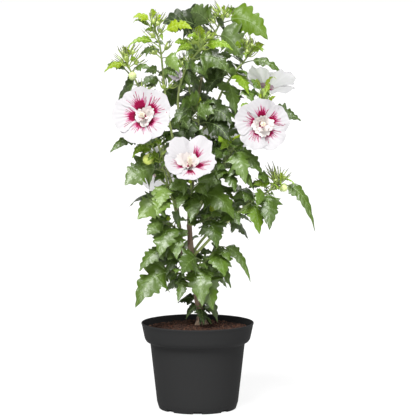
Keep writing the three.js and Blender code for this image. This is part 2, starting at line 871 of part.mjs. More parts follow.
function potSolid() {
  const lip = POT_HEIGHT - POT.lipDepth;
  const inner = (radius) => radius - POT.wall;
  const shell = toSolid(lathe([
    [0, 0],
    [POT.footRadius, 0],
    [POT.heelRadius, POT.heelHeight],
    [POT.wallFootRadius, POT.wallFootHeight],
    [POT.neckRadius, POT.neckHeight],
    [POT.shelfRadius, POT.shelfHeight],
    [POT.bandRadius, POT.bandHeight],
    [RIM_RADIUS - POT.lipProud, lip],
    [RIM_RADIUS, POT_HEIGHT],
    [inner(RIM_RADIUS), POT_HEIGHT],
    [inner(RIM_RADIUS - POT.lipProud), lip],
    [inner(POT.bandRadius), POT.bandHeight + POT.wall],
    [inner(POT.neckRadius), POT.neckHeight + POT.wall],
    [inner(POT.wallFootRadius), POT.wallFootHeight],
    [inner(POT.heelRadius), POT.floor],
    [0, POT.floor],
  ]));
  const depth = RIM_RADIUS - POT.notchInner;
  const notch = new THREE.BoxGeometry(POT.notchWidth, depth, 2 * POT.notchHeight);
  notch.translate(0, -POT.notchInner - depth / 2, 0);
  let solid = shell;
  for (let index = 0; index < POT.notches; index++) {
    solid = solid.subtract(toSolid(notch.clone().rotateZ(2 * Math.PI * index / POT.notches)));
  }
  return solid;
}

function soilSolid() {
  const inner = (radius) => radius - POT.wall - SOIL.sideGap;
  const edge = GROUND - SOIL.edgeDrop;
  const bandTop = POT.bandHeight + POT.wall;
  const edgeShare = (edge - bandTop) / (POT_HEIGHT - POT.lipDepth - bandTop);
  const profile = [
    [0, POT.floor + CLEAR],
    [inner(POT.heelRadius), POT.floor + CLEAR],
    [inner(POT.wallFootRadius), POT.wallFootHeight + CLEAR],
    [inner(POT.neckRadius), POT.neckHeight + POT.wall + 2 * CLEAR],
    [inner(POT.bandRadius), bandTop + 2 * CLEAR],
    [inner(mix(POT.bandRadius, RIM_RADIUS - POT.lipProud, edgeShare)), edge],
    ...SOIL.rings.map(([radius, drop]) => [radius, GROUND - drop]),
    [SOIL.flatRadius, GROUND],
    [0, GROUND],
  ];
  const bare = lathe(profile);
  bare.deleteAttribute('normal');
  bare.deleteAttribute('uv');
  const soil = mergeVertices(bare, MERGE_DISTANCE);
  const { position } = soil.attributes;
  const draw = seeded(CROWN_SEED);
  for (let index = 0; index < position.count; index++) {
    const radius = Math.hypot(position.getX(index), position.getY(index));
    const height = position.getZ(index);
    if (height < edge + CLEAR || radius < SOIL.flatRadius + CLEAR) continue;
    position.setZ(index, height + (draw() - 0.5) * SOIL.roughness);
  }
  return toSolid(soil);
}

// The whole plant

const shrub = new THREE.Group();

function addNode(name, solid, look) {
  const [color, roughness] = COLOURS[look];
  const material = new THREE.MeshStandardMaterial({ color, roughness, metalness: 0 });
  const mesh = new THREE.Mesh(toGeometry(solid), material);
  mesh.name = name;
  shrub.add(mesh);
}

addNode('pot', potSolid(), 'plastic');
addNode('soil', soilSolid(), 'compost');

growTrunk();
BOUGHS.forEach(growBough);
const barkNodes = [...limbs.keys()];
const masses = MASSES.map((mass, index) => ({ ...mass, seed: CROWN_SEED + 10 * index, grown: [] }));
masses.forEach((mass) => growStem(mass.name, limbPath(mass, mass.stem), STEM.root, STEM.tip));
BLOOMS.forEach(growBloomStalk);
masses.forEach(growGlobes);
masses.forEach(growMarked);
masses.forEach(growBuds);
masses.forEach(growByRule);

barkNodes.forEach((name) => addNode(name, limbs.get(name).solid, 'bark'));
masses.forEach(({ name, grown }) => {
  addNode(name, mainBody(wasm.Manifold.union([limbs.get(name).solid, ...grown])), 'leaf');
});
BLOOMS.forEach((bloom) => addNode(bloom.name, bloomSolid(bloom), 'petal'));

export default shrub;
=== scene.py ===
import math

import bpy
import numpy as np
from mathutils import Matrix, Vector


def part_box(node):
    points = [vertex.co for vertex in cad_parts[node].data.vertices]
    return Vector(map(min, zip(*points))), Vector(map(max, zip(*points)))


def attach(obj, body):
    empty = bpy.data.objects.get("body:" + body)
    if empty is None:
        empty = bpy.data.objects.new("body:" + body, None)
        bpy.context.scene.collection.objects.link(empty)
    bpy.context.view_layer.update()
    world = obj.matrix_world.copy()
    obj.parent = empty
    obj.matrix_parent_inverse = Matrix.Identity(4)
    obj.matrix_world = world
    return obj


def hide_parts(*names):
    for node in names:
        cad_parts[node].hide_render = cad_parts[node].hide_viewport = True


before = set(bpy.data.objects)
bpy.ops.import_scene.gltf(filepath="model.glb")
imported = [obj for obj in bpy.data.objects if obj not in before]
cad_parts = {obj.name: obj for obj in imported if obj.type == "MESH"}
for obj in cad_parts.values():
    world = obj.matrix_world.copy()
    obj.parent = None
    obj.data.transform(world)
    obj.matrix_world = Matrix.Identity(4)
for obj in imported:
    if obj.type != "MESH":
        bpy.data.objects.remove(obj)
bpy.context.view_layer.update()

# A semi-double hibiscus with a crimson heart, grown as a shrub in a 19 cm nursery pot.
# Sizes are in millimetres in the frame of the solids, and become metres when a piece is made.

MM = 0.001

RIM_RADIUS = 95.0
POT_HEIGHT = 146.7
GROUND = 142.0
CLEAR = 0.3
TIP_PLACE = 0.98
STEM_RADII = (2.0, 1.1)
STALK_RADIUS = 1.7
GOLDEN_TURN = 137.5
UP = np.array((0.0, 0.0, 1.0))

# A random phase is up to this many radians, a little over a full turn.
PHASE = 6.3
# The first seed of each kind of part. A part's own number, if it has one, is added to it.
CROWN_SEED = 1907
SEEDS = {
    "bark": 300, "bloom": 4000, "bud": 5000, "globe": 6000, "blade": 7000, "leaf_look": 7500,
    "mound": 8100, "crumbs": 8200, "sprig": 9000,
}

# The trunk leans and flares at its foot, with buttresses.
TRUNK = {
    "points": [[6, 0, GROUND + CLEAR], [6, 0, 157], [1, 0, 183], [-5, 1, 220]],
    "root": 7.2, "tip": 5.4, "flare": 5.5, "flare_height": 7, "buttresses": 3, "depth": 0.22,
}

# Boughs: name, the limb that it leaves and the place along that limb, radius at its root and at
# its tip, and the points that it passes.
BOUGHS = [
    ("bough_main", "trunk", TIP_PLACE, 5.2, 4.4, [[-9, 0, 248], [-12, 0, 281], [-14, 0, 312]]),
    ("bough_second", "trunk", 0.87, 3.8, 3.2, [[-15, 8, 234], [-25, 10, 265], [-29, 8, 300]]),
    ("bough_low_right", "bough_main", 0.41, 2.6, 2, [[7, -10, 274], [38, -14, 307], [70, -18, 336]]),
    ("bough_mid_left", "bough_second", TIP_PLACE, 3, 2.7, [[-32, 0, 320], [-34, -7, 342]]),
    ("bough_left", "bough_mid_left", TIP_PLACE, 2.5, 1.9,
     [[-44, -10, 385], [-66, -17, 450], [-86, -14, 515]]),
    ("bough_right", "bough_main", TIP_PLACE, 2.8, 2.4, [[2, -8, 345], [17, -15, 372], [30, -20, 392]]),
    ("bough_upper_right", "bough_right", TIP_PLACE, 2.2, 1.9, [[47, -15, 425], [64, -14, 456]]),
    ("bough_front", "bough_main", TIP_PLACE, 2.6, 2.2, [[-12, -14, 328], [-9, -26, 346]]),
    ("bough_centre", "bough_main", TIP_PLACE, 4, 3.2, [[-12, 3, 352], [-7, 3, 400], [-4, 0, 440]]),
    ("bough_leader", "bough_centre", TIP_PLACE, 2.7, 1.9, [[1, 18, 488], [4, 34, 543], [22, 42, 610]]),
    ("bough_top_right", "bough_centre", TIP_PLACE, 2.3, 1.9, [[10, 1, 474], [29, 6, 509], [45, 12, 544]]),
    ("bough_top_centre", "bough_centre", 0.65, 2.3, 1.9, [[-21, -4, 455], [-32, -14, 509], [-30, -22, 547]]),
    ("bough_top_left", "bough_centre", 0.53, 2.3, 1.9, [[-34, 6, 432], [-47, -6, 486], [-54, -18, 534]]),
    ("bough_back_left", "bough_second", TIP_PLACE, 2.6, 2.1, [[-38, 32, 336], [-46, 54, 372]]),
    ("bough_back_right", "bough_main", TIP_PLACE, 2.6, 2.1, [[6, 28, 342], [26, 52, 376]]),
    ("bough_back_low", "bough_main", 0.47, 2.4, 2, [[10, 26, 286], [34, 46, 306]]),
    ("bough_back", "bough_centre", TIP_PLACE, 2.4, 2, [[-8, 34, 470], [-12, 58, 505]]),
]


def marked(place, heading, rise, span, tint, **more):
    """A leaf that the photograph shows, by its place on the stem. Front turns its face to the viewer."""
    return {"place": place, "heading": heading, "rise": rise, "span": span, "tint": tint, **more}


def foliage(name, limb, stem, rule, marks=(), **more):
    """A mass on its stem. Rule: number of leaves, size, rise at the foot and at the tip, tints."""
    leaves, size, low, high, tints = rule
    plain = {"at": TIP_PLACE, "tuft": 2, "twigs": 6, "buds": 0, "more_buds": 0, "slim": 1, "globes": ()}
    own = {"name": "foliage_" + name, "from": limb, "stem": stem, "marks": marks, "spent": False}
    return {**plain, **own, "leaves": leaves, "size": size, "rises": (low, high), "tints": tints, **more}


MASSES = [
    foliage("low_left", "trunk", [[-18, -8, 222], [-34, -12, 232]], (3, 62, -20, -10, "dmm"), [
        marked(0.95, 212, -24, 92, "d", front=0.5, droop=0.16),
        marked(0.7, 250, 20, 38, "m"),
        marked(0.5, 245, -45, 50, "d", slim=0.7),
    ], at=0.88, tuft=0),
    foliage("low_front", "trunk", [[1, -14, 236], [6, -24, 256]], (3, 58, -30, 5, "dmm"), [
        marked(0.95, 240, -12, 64, "m", front=0.5, slim=1.15),
        marked(0.72, 252, -50, 78, "m", front=0.5, slim=1.2),
        marked(0.55, 306, -56, 74, "m", front=0.5, slim=1.25),
        marked(0.32, 235, -66, 66, "d"),
    ], at=0.94, tuft=0, twigs=7),
    foliage("low_right", "trunk", [[10, -6, 246], [34, -12, 276]], (3, 62, -20, 0, "dmm"), [
        marked(0.85, 290, -30, 64, "m", front=0.5, slim=1.2),
        marked(1, 322, -38, 80, "m", slim=0.55, droop=0.2),
        marked(0.6, 325, -40, 62, "d"),
    ], tuft=1),
    foliage("side_left", "trunk", [[-20, -10, 244], [-40, -18, 274]], (2, 52, -20, 0, "dmp"), [
        marked(1, 206, -28, 72, "d", slim=0.8),
        marked(0.8, 255, -45, 46, "d"),
        marked(0.9, 160, -5, 40, "d"),
    ], at=0.96, tuft=1),
    foliage("mid_left", "bough_second", [[-37, -8, 307], [-48, -18, 313]], (3, 56, -15, 15, "dmm"), [
        marked(0.85, 250, -38, 66, "m", front=0.5, slim=1.2),
        marked(1, 215, -14, 52, "p", front=0.5),
        marked(0.6, 285, -48, 62, "m", slim=1.15),
    ]),
    foliage("mid_front", "bough_main", [[4, -16, 318], [28, -26, 326]], (3, 52, -20, 15, "ddm"), [
        marked(1, 318, -4, 58, "m"),
        marked(0.8, 288, -38, 60, "m", front=0.5, slim=1.15),
        marked(0.5, 316, -36, 54, "p", front=0.5, slim=1.15),
        marked(0.9, 345, -26, 56, "d"),
    ]),
    foliage("left", "bough_mid_left", [[-46, -22, 368], [-58, -32, 412], [-82, -32, 460]],
            (4, 54, -15, 20, "dmf"), [
        marked(1, 200, -18, 70, "d", slim=0.62),
        marked(0.92, 225, -20, 48, "f"),
        marked(0.6, 208, -14, 76, "p", front=0.5, slim=1.25, droop=0.0),
        marked(0.42, 250, -32, 56, "p"),
        marked(0.18, 206, -24, 72, "p", front=0.5, slim=1.15, droop=0.0),
        marked(0.3, 240, -26, 68, "p", front=0.5),
    ], twigs=8, more_buds=2, globes=[(0.72, 221, 14, 38, 9.5)]),
    foliage("left_tip", "bough_left", [[-98, -18, 545], [-112, -20, 573], [-118, -20, 590]],
            (3, 38, -10, 30, "dmf"), [
        marked(0.75, 205, -10, 46, "y", slim=0.8),
        marked(0.35, 140, -30, 52, "d"),
    ], twigs=3, slim=0.62, buds=5, globes=[(0.5, 262, 14, 23, 7)]),
    foliage("front", "bough_front", [[-9, -42, 362], [-10, -56, 380]], (3, 48, -25, 0, "ddm"), [
        marked(0.5, 268, -30, 58, "d", front=0.5),
        marked(0.45, 335, -14, 80, "d", slim=1.1),
        marked(0.85, 295, 0, 46, "d"),
        marked(0.6, 225, -15, 54, "d"),
        marked(0.95, 332, 12, 54, "d"),
    ], twigs=7),
    foliage("right_branch", "bough_low_right", [[90, -20, 353], [118, -23, 370], [136, -25, 382]],
            (4, 50, -25, 10, "dmf"), [
        marked(0.62, 275, -46, 76, "m", front=0.5, slim=0.8),
        marked(0.8, 222, 35, 42, "m"),
        marked(1, 335, -38, 84, "d", slim=0.5, droop=0.3),
        marked(0.3, 290, -42, 60, "g"),
        marked(0.42, 245, 5, 44, "m"),
    ], slim=0.75, buds=5, globes=[(0.93, 314, -8, 24, 6.5)]),
    foliage("right", "bough_right", [[48, -30, 420], [62, -36, 446]], (3, 52, -15, 20, "ddm"), [
        marked(0.3, 262, -14, 48, "d"),
        marked(0.9, 302, -50, 62, "m", front=0.5),
        marked(0.7, 345, -25, 62, "d"),
        marked(0.45, 328, -32, 66, "d"),
        marked(0.22, 305, -30, 52, "m", front=0.5),
        marked(0.72, 235, 40, 44, "f"),
    ], tuft=3, twigs=8),
    foliage("upper_right", "bough_upper_right", [[90, -6, 470], [116, -2, 490]], (3, 50, -10, 30, "dmf"), [
        marked(1, 350, 0, 58, "d"),
        marked(0.6, 20, -10, 52, "m", slim=0.7),
        marked(0.95, 250, 60, 54, "y"),
    ], tuft=6, more_buds=2),
    foliage("centre", "bough_centre", [[0, -12, 462], [2, -16, 486], [0, -14, 508]],
            (5, 56, -15, 25, "kdm"), [
        marked(0.85, 330, -5, 66, "k", front=0.5),
        marked(0.6, 322, -16, 68, "k", front=0.5),
        marked(0.7, 225, -42, 60, "k"),
        marked(0.92, 188, -18, 54, "d"),
        marked(0.3, 310, -36, 56, "k"),
    ], twigs=8),
    foliage("top", "bough_leader", [[30, 44, 633], [44, 46, 659]], (3, 46, -5, 35, "kdf"), [
        marked(0.3, 190, 17, 90, "k", front=1, slim=0.9, droop=0.0),
        marked(0.5, 214, 34, 62, "d", front=1, slim=1.1, droop=0.0),
        marked(0.18, 205, -22, 58, "d", front=1, slim=0.8),
        marked(0.75, 342, -13, 88, "g", front=1, slim=0.92, droop=0.05),
        marked(0.4, 336, -34, 70, "p", front=1, slim=1.3, droop=0.0),
    ], twigs=4, slim=0.80, buds=4),
    foliage("top_centre", "bough_top_centre", [[-18, -28, 578], [0, -34, 603], [10, -38, 620]],
            (4, 44, -20, 20, "dmf"), [
        marked(0.8, 255, 72, 40, "y"),
        marked(0.7, 340, 5, 62, "f"),
        marked(0.45, 335, -12, 74, "d"),
        marked(0.95, 318, 32, 34, "y"),
    ], tuft=3, twigs=5, slim=0.75, buds=4, globes=[(0.1, 240, 32, 26, 9)], spent=True),
    foliage("top_left", "bough_top_left", [[-58, -24, 577], [-63, -30, 618], [-74, -34, 653]],
            (4, 42, -15, 30, "dmf"), [
        marked(0.75, 335, 16, 66, "y", slim=0.5),
        marked(0.95, 186, 24, 38, "y"),
        marked(0.6, 196, 6, 56, "f", slim=0.5),
        marked(0.5, 222, 6, 50, "d", slim=0.7),
        marked(0.45, 310, -22, 50, "p", slim=0.8),
        marked(0.12, 220, 4, 48, "d", slim=0.7),
    ], tuft=3, twigs=3, more_buds=1, slim=0.62, buds=4),
    foliage("top_right", "bough_top_right", [[62, 20, 566], [80, 24, 588], [92, 26, 604]],
            (4, 44, -15, 30, "dmf"), [
        marked(0.55, 348, -16, 84, "d", slim=0.48),
        marked(0.25, 204, 24, 66, "k"),
        marked(0.18, 222, -16, 54, "k"),
        marked(0.12, 286, -42, 66, "d"),
        marked(0.9, 30, 25, 34, "y"),
        marked(0.3, 320, -30, 56, "f"),
    ], tuft=3, twigs=5, more_buds=1, slim=0.80, buds=5),
    foliage("back_left", "bough_back_left", [[-54, 70, 408], [-58, 80, 448]], (8, 62, -25, 25, "dmm"),
            tuft=3, twigs=7, more_buds=2),
    foliage("back_right", "bough_back_right", [[36, 68, 412], [40, 78, 452]], (8, 62, -25, 25, "dmf"),
            tuft=3, twigs=7, more_buds=2),
    foliage("back_low", "bough_back_low", [[48, 58, 322], [60, 68, 340]], (6, 58, -30, 15, "dmm")),
    foliage("back_foot", "trunk", [[-12, 26, 238], [-18, 50, 262]], (6, 66, -35, 5, "dmm"), at=0.94, tuft=0),
    foliage("back", "bough_back", [[-14, 72, 540], [-8, 80, 580]], (8, 52, -25, 30, "dmf"),
            tuft=4, twigs=7, more_buds=5, buds=3),
]

# How far each petal and its crimson heart reach, the heart's half angle, how far the wine red
# goes, how ragged the petals are, and the ruff's size with the side that it leans to.
PLAIN_BLOOM = {
    "petal_turn": 0, "reach": (0.96, 0.98, 0.95, 0.97, 0.94), "hearts": (0.5, 0.54, 0.52, 0.55, 0.5),
    "heart_half": 29, "wine": 0.32, "ragged": 0.0, "ruff": 1.1, "ruff_side": 0, "ruff_lean": 0.0,
}


def flower(name, limb, centre, heading, rise, radius, cup, turn, **more):
    """A bloom by its centre, the way that it faces, its radius, its depth and its turn."""
    own = {"name": "bloom_" + name, "from": limb, "centre": centre, "heading": heading, "rise": rise}
    return {**PLAIN_BLOOM, **own, "radius": radius, "cup": cup, "turn": turn, **more}


BLOOMS = [
    flower("left", "bough_left", [-90, -62, 499], 262, 14, 51, 15, 10,
           reach=(0.97, 0.95, 0.99, 0.96, 0.93), hearts=(0.57, 0.57, 0.5, 0.42, 0.46), heart_half=32,
           ruff=1.2, ruff_side=-15, ruff_lean=0.5),
    flower("centre", "bough_front", [-12, -84, 424], 268, 38, 46, 30, 40, petal_turn=-12,
           reach=(1.0, 0.98, 0.93, 0.97, 0.97), hearts=(0.5, 0.2, 0.46, 0.52, 0.54), heart_half=19,
           wine=0.5, ragged=0.45, ruff=1.25, ruff_side=150, ruff_lean=0.4),
    flower("right", "bough_upper_right", [107, -60, 485], 274, 4, 48, 12, 22, petal_turn=-27,
           reach=(0.93, 0.9, 0.96, 0.92, 0.94), hearts=(0.55, 0.5, 0.42, 0.46, 0.52), heart_half=26,
           ruff=1.2),
    flower("top_right", "bough_upper_right", [116, 18, 546], 60, 60, 48, 22, 0, petal_turn=-9,
           reach=(1.12, 0.96, 1.12, 0.98, 1.04), ragged=0.7),
    flower("back_left", "bough_back_left", [-66, 118, 392], 98, 18, 44, 18, 30),
    flower("back_right", "bough_back_right", [42, 122, 438], 76, 22, 43, 18, 15),
]

# A blade as the solids have it, in shares of its span: its fold, the arch of its spine and the
# place where it takes its light. Half widths by place along the leaf.
BLADE = {"fold": 0.2, "arch": 0.19, "middle": 0.6}
HALF_WIDTHS = np.array([(0, 0.013), (0.24, 0.045), (0.44, 0.34), (0.6, 0.21), (1, 0)])
# Turns in degrees that a marked leaf tries until it finds room, and those of the other leaves.
NUDGES = [0, 8, -8, 16, -16, 24, -24, 32, -32]
TURNS = [43 * attempt for attempt in range(9)]
# Blades face away from the axis and up, and in the front half to the front as well.
LIGHT = {
    "axis": (-5, 5), "outward": 0.8, "up": 0.45, "front": 0.9, "front_half": 25, "viewer": (0.25, -1.0, 0.1),
}
# Clear room in millimetres round each kind of part, the share of it that parts of one mass keep,
# how far off a claim is still looked at, and the step between the claimed places of a limb.
GUARD = {
    "blade": 2.6, "stalk": 1.0, "limb": 0.8, "petal": 3.6, "bud": 2.4, "twig": 1.2, "young_bud": 1.5,
    "own_share": 0.45, "reach": 12, "step": 5,
}
# Leaves keep this far outside the rim or over it, and over the ground within the core.
POT_GUARD = {"beside": 6, "over_rim": 4, "over_ground": 5, "core": 70}

# Dark, middle and pale greens, fresh and glossy ones, and the yellow green of young leaves.
# The pale green, p, is painted sheen: a paler, greyer green for leaves that catch the light.
LEAF_TINTS = {
    "k": (0.031, 0.054, 0.009),
    "d": (0.051, 0.094, 0.006),
    "m": (0.070, 0.128, 0.009),
    # p: painted sheen, a paler and greyer green for leaves that catch the light.
    "p": (0.110, 0.180, 0.024),
    "f": (0.135, 0.228, 0.009),
    "g": (0.096, 0.172, 0.006),
    "y": (0.250, 0.345, 0.009),
}


def seeded(seed):
    """Numbers from 0 to 1 in an order that depends on the seed alone."""
    mask = 0xFFFFFFFF
    state = [seed & mask]

    def draw():
        state[0] = (state[0] + 0x6D2B79F5) & mask
        t = state[0]
        t = ((t ^ (t >> 15)) * (t | 1)) & mask
        t ^= (t + (((t ^ (t >> 7)) * (t | 61)) & mask)) & mask
        return ((t ^ (t >> 14)) & mask) / (mask + 1)

    return draw


def mix(a, b, t):
    return a + (b - a) * t


def unit(v):
    v = np.asarray(v, float)
    return v / np.linalg.norm(v, axis=-1, keepdims=True)


def direction(heading, rise):
    turn, lift = math.radians(heading), math.radians(rise)
    return np.array((math.cos(turn) * math.cos(lift), math.sin(turn) * math.cos(lift), math.sin(lift)))


def sides_of(run):
    """Two directions across a run, square to each other."""
    across = unit(np.cross(run, UP))
    return across, np.cross(run, across)


def round_turn(sides):
    return 2 * math.pi * np.arange(sides) / sides


class Path:
    """A smooth line through points, the same as the solids' limbs follow."""

    def __init__(self, points):
        self.points = np.array(points, float)

    def at(self, t):
        p = self.points
        q = np.vstack([2 * p[0] - p[1], p, 2 * p[-1] - p[-2]])
        place = np.asarray(t, float) * (len(p) - 1)
        i = np.clip(place.astype(int), 0, len(p) - 2)
        w = (place - i)[..., None]
        a, b, c, d = q[i], q[i + 1], q[i + 2], q[i + 3]
        return b + 0.5 * w * (c - a + w * (2 * a - 5 * b + 4 * c - d + w * (3 * (b - c) + d - a)))

    def length(self):
        p = self.at(np.linspace(0, 1, 201))
        return float(np.linalg.norm(np.diff(p, axis=0), axis=1).sum())


# Places that are taken

taken = []


def claim(owner, points, rooms):
    points = np.atleast_2d(points)
    rooms = np.broadcast_to(np.asarray(rooms, float), (len(points),))
    taken.append((owner, points, rooms, points.min(0) - GUARD["reach"], points.max(0) + GUARD["reach"]))


def is_free(points, rooms, owner, own_share=GUARD["own_share"]):
    """Whether points with their clear rooms keep off all that is claimed, less strictly in their own mass."""
    low, high = points.min(0), points.max(0)
    rooms = np.broadcast_to(rooms, (len(points),))
    for other, theirs, room, other_low, other_high in taken:
        if other == owner or np.any(other_high < low) or np.any(other_low > high):
            continue
        share = own_share if other == owner + "_leaf" else 1.0
        gap = ((points[:, None] - theirs[None]) ** 2).sum(-1)
        need = ((rooms[:, None] + room[None]) * share) ** 2
        if np.any(gap < need):
            return False
    return True


def clear_of_pot(points):
    radius = np.hypot(points[:, 0], points[:, 1])
    over_rim, over_ground = POT_HEIGHT + POT_GUARD["over_rim"], GROUND + POT_GUARD["over_ground"]
    floor = np.where(radius > POT_GUARD["core"], over_rim, over_ground)
    return bool(np.all((radius > RIM_RADIUS + POT_GUARD["beside"]) | (points[:, 2] > floor)))


# Limbs

limbs = {}
trunk_path = Path(TRUNK["points"])


def add_limb(name, path, root, tip, radius=None):
    count = math.ceil(path.length() / GUARD["step"])
    places = np.arange(count + 1) / count
    radii = mix(root, tip, places) if radius is None else radius(places, 0)
    claim(name, path.at(places), radii + GUARD["limb"])
    limbs[name] = {"path": path, "root": root, "tip": tip}


def trunk_radius(places, angle):
    height = trunk_path.at(places)[..., 2] - GROUND
    flare = np.exp(-height / TRUNK["flare_height"])
    return (mix(TRUNK["root"], TRUNK["tip"], places) + TRUNK["flare"] * flare) * (
        1 + TRUNK["depth"] * flare * np.cos(TRUNK["buttresses"] * angle))


def limb_path(limb, place, points):
    return Path([limbs[limb]["path"].at(place), *points])


add_limb("trunk", trunk_path, TRUNK["root"], TRUNK["tip"], trunk_radius)
for name, limb, place, root, tip, points in BOUGHS:
    add_limb(name, limb_path(limb, place, points), root, tip)
for mass in MASSES:
    add_limb(mass["name"], limb_path(mass["from"], mass["at"], mass["stem"]), *STEM_RADII)


# Leaves: where each one stands and which way its blade lies

def facing_at(point, front=0):
    out = unit(np.array((point[0] - LIGHT["axis"][0], point[1] - LIGHT["axis"][1], 0)))
    forward = np.array(LIGHT["viewer"]) * (out[0], 1, 1)
    if point[1] < LIGHT["front_half"]:
        out[1] -= LIGHT["front"]
    return mix(unit(out) * LIGHT["outward"] + UP * LIGHT["up"], forward, front)


def leaf_spine(leaf, s):
    """Centre, direction across and face of a leaf at places from its stalk's foot, 0, to its tip, 1."""
    s = np.asarray(s, float)[..., None]
    run = direction(leaf["heading"], leaf["rise"])
    root, span = leaf["root"], leaf["span"]
    facing = facing_at(root + run * span * BLADE["middle"], leaf.get("front", 0))
    facing = facing + np.array((leaf["turn_x"], 0, leaf["turn_z"]))
    centre = root + run * span * s + UP * (BLADE["arch"] * span * 4 * s * (1 - s))
    along = unit(run + UP * (BLADE["arch"] * 4 * (1 - 2 * s)))
    face = unit(facing - along * (along @ facing)[..., None])
    return centre, np.cross(face, along), face


STALK_PLACES = np.array((0.1, 0.2))
BLADE_PLACES = np.repeat((0.3, 0.37, 0.44, 0.52, 0.6, 0.68, 0.76, 0.88, 1), 7)
BLADE_SHARES = np.tile((-1, -0.66, -0.33, 0, 0.33, 0.66, 1), 9)
LEAF_ROOMS = np.concatenate([[GUARD["stalk"]] * 2, np.full(len(BLADE_PLACES), GUARD["blade"])])


def leaf_points(leaf):
    s = np.concatenate([STALK_PLACES, BLADE_PLACES])
    half = np.interp(BLADE_PLACES, HALF_WIDTHS[:, 0], HALF_WIDTHS[:, 1])
    half = np.concatenate([[0, 0], BLADE_SHARES * half * leaf["span"]])
    centre, across, face = leaf_spine(leaf, s)
    return centre + across * half[:, None] - face * (BLADE["fold"] * np.abs(half))[:, None]


leaves = []
buds = []
globes = []
twigs = []


def place_leaf(owner, leaf, turns, shrink, box=None):
    """Stands a leaf at the first turn that is free, smaller at each attempt, or leaves it out."""
    for attempt, turn in enumerate(turns):
        tried = dict(leaf, heading=leaf["heading"] + turn, span=leaf["span"] * shrink ** attempt)
        points = leaf_points(tried)
        if box is not None and (np.any(points.min(0) < box[0]) or np.any(points.max(0) > box[1])):
            continue
        if not is_free(points, LEAF_ROOMS, owner) or not clear_of_pot(points):
            continue
        claim(owner + "_leaf", points, LEAF_ROOMS)
        leaves.append(dict(tried, index=len(leaves)))
        return True
    return False


def place_bud(mass, root, run, span, places, room, own_share=GUARD["own_share"]):
    points = root + run * span * np.array(places)[:, None]
    if is_free(points, room, mass["name"], own_share):
        claim(mass["name"] + "_leaf", points, room)
        buds.append({"root": root, "run": run, "span": span})


def twist(draw, most):
    turn_x = (draw() - 0.5) * most
    return {"turn_x": turn_x, "turn_z": (draw() - 0.5) * most}


def tint_at(mass, t):
    return mass["tints"][min(2, int(t * 3))]


def grow_all(*kinds):
    """One kind of growth after the other over all masses, each kind with its own seed in a mass."""
    for grow, own in kinds:
        for index, mass in enumerate(MASSES):
            grow(mass, CROWN_SEED + 10 * index + own)


def growth(mass, seed):
    """The stem of a mass, its draws and the first heading round it."""
    draw = seeded(seed)
    return limbs[mass["name"]]["path"], draw, draw() * 360


def grow_globes(mass):
    path = limbs[mass["name"]]["path"]
    for t, heading, rise, span, radius in mass["globes"]:
        root, run = path.at(t), direction(heading, rise)
        claim(mass["name"] + "_leaf", root + run * (span - radius), radius)
        globes.append({"root": root, "run": run, "span": span, "radius": radius, "spent": mass["spent"]})


def grow_marked(mass, seed):
    path = limbs[mass["name"]]["path"]
    draw = seeded(seed)
    for mark in mass["marks"]:
        leaf = {**mark, "root": path.at(mark["place"]), **twist(draw, 0.5)}
        place_leaf(mass["name"], leaf, NUDGES, 0.98)


def grow_by_rule(mass, seed):
    path, draw, start = growth(mass, seed)
    for index in range(mass["leaves"]):
        t = mix(0.2, 1, (index + 0.5) / mass["leaves"])
        leaf = {
            "root": path.at(t),
            "heading": start + index * GOLDEN_TURN,
            "rise": mix(*mass["rises"], t) + (draw() - 0.5) * 20,
            **twist(draw, 1),
            "span": mass["size"] * mix(0.85, 1.15, draw()) * mix(1.1, 0.75, t),
            "slim": mass["slim"],
            "tint": tint_at(mass, t),
        }
        place_leaf(mass["name"], leaf, TURNS, 0.95)


def grow_buds(mass, seed):
    path, draw, start = growth(mass, seed)
    for index in range(mass["buds"]):
        root = path.at(mix(1, 0.55, index / mass["buds"]))
        run = direction(start + index * GOLDEN_TURN, 62 - 30 * draw())
        place_bud(mass, root, run, 24 * mix(0.8, 1.15, draw()), (0.5, 0.75, 1), GUARD["bud"])


# Blooms: the same dishes as the solids, on the same stalks

CALYX_FOOT = -19


def frame_at(throat, axis):
    """Points of a bloom by radius and angle about its axis and height over its throat."""
    across = unit(np.cross(UP, axis))
    other = np.cross(axis, across)

    def at(radius, angle, height):
        radius, angle, height = np.broadcast_arrays(radius, angle, height)
        return (throat + axis * height[..., None] + across * (radius * np.cos(angle))[..., None]
                + other * (radius * np.sin(angle))[..., None])

    return axis, at


def bloom_frame(bloom):
    axis = direction(bloom["heading"], bloom["rise"])
    return frame_at(np.array(bloom["centre"], float) - axis * bloom["cup"] / 2, axis)


def rim_point(bloom, at, share, sector):
    within = sector % 4
    edge = np.array((0.86, 1, 1, 0.88))[within]
    radius = bloom["radius"] * share * mix(1, edge, share)
    height = bloom["cup"] * share ** 0.8 + 5 * share * (within / 3 - 0.5)
    return at(radius, math.radians(bloom["turn"]) + 2 * math.pi * sector / 20, height)


for bloom in BLOOMS:
    axis, at = bloom_frame(bloom)
    foot = limbs[bloom["from"]]["path"].at(1)
    base = at(0, 0, CALYX_FOOT)
    bend = base - axis * np.linalg.norm(base - foot) * 0.35
    add_limb(bloom["name"], Path([foot, bend, base + axis * 3]), STALK_RADIUS, STALK_RADIUS)
    dish = [rim_point(bloom, at, share, np.arange(20)) for share in (0.2, 0.5, 0.8, 1)]
    claim(bloom["name"], np.vstack(dish), GUARD["petal"])

for mass in MASSES:
    grow_globes(mass)
grow_all((grow_marked, 0), (grow_buds, 2), (grow_by_rule, 1))


# Extra leaves: sprigs on the limbs, and in each mass's reach more buds, young tufts and twigs

def reach_of(mass, spare=3.0):
    low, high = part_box(mass["name"])
    return np.array(low) / MM - spare, np.array(high) / MM + spare


def grow_more_buds(mass, seed):
    path = limbs[mass["name"]]["path"]
    draw = seeded(seed)
    for index in range(mass["more_buds"]):
        root = path.at(mix(1, 0.5, index / mass["more_buds"]))
        run = direction(draw() * 360, mix(38, 85, draw()))
        place_bud(mass, root, run, mix(15, 23, draw()), (0.6, 0.8, 1), GUARD["young_bud"], 0.3)


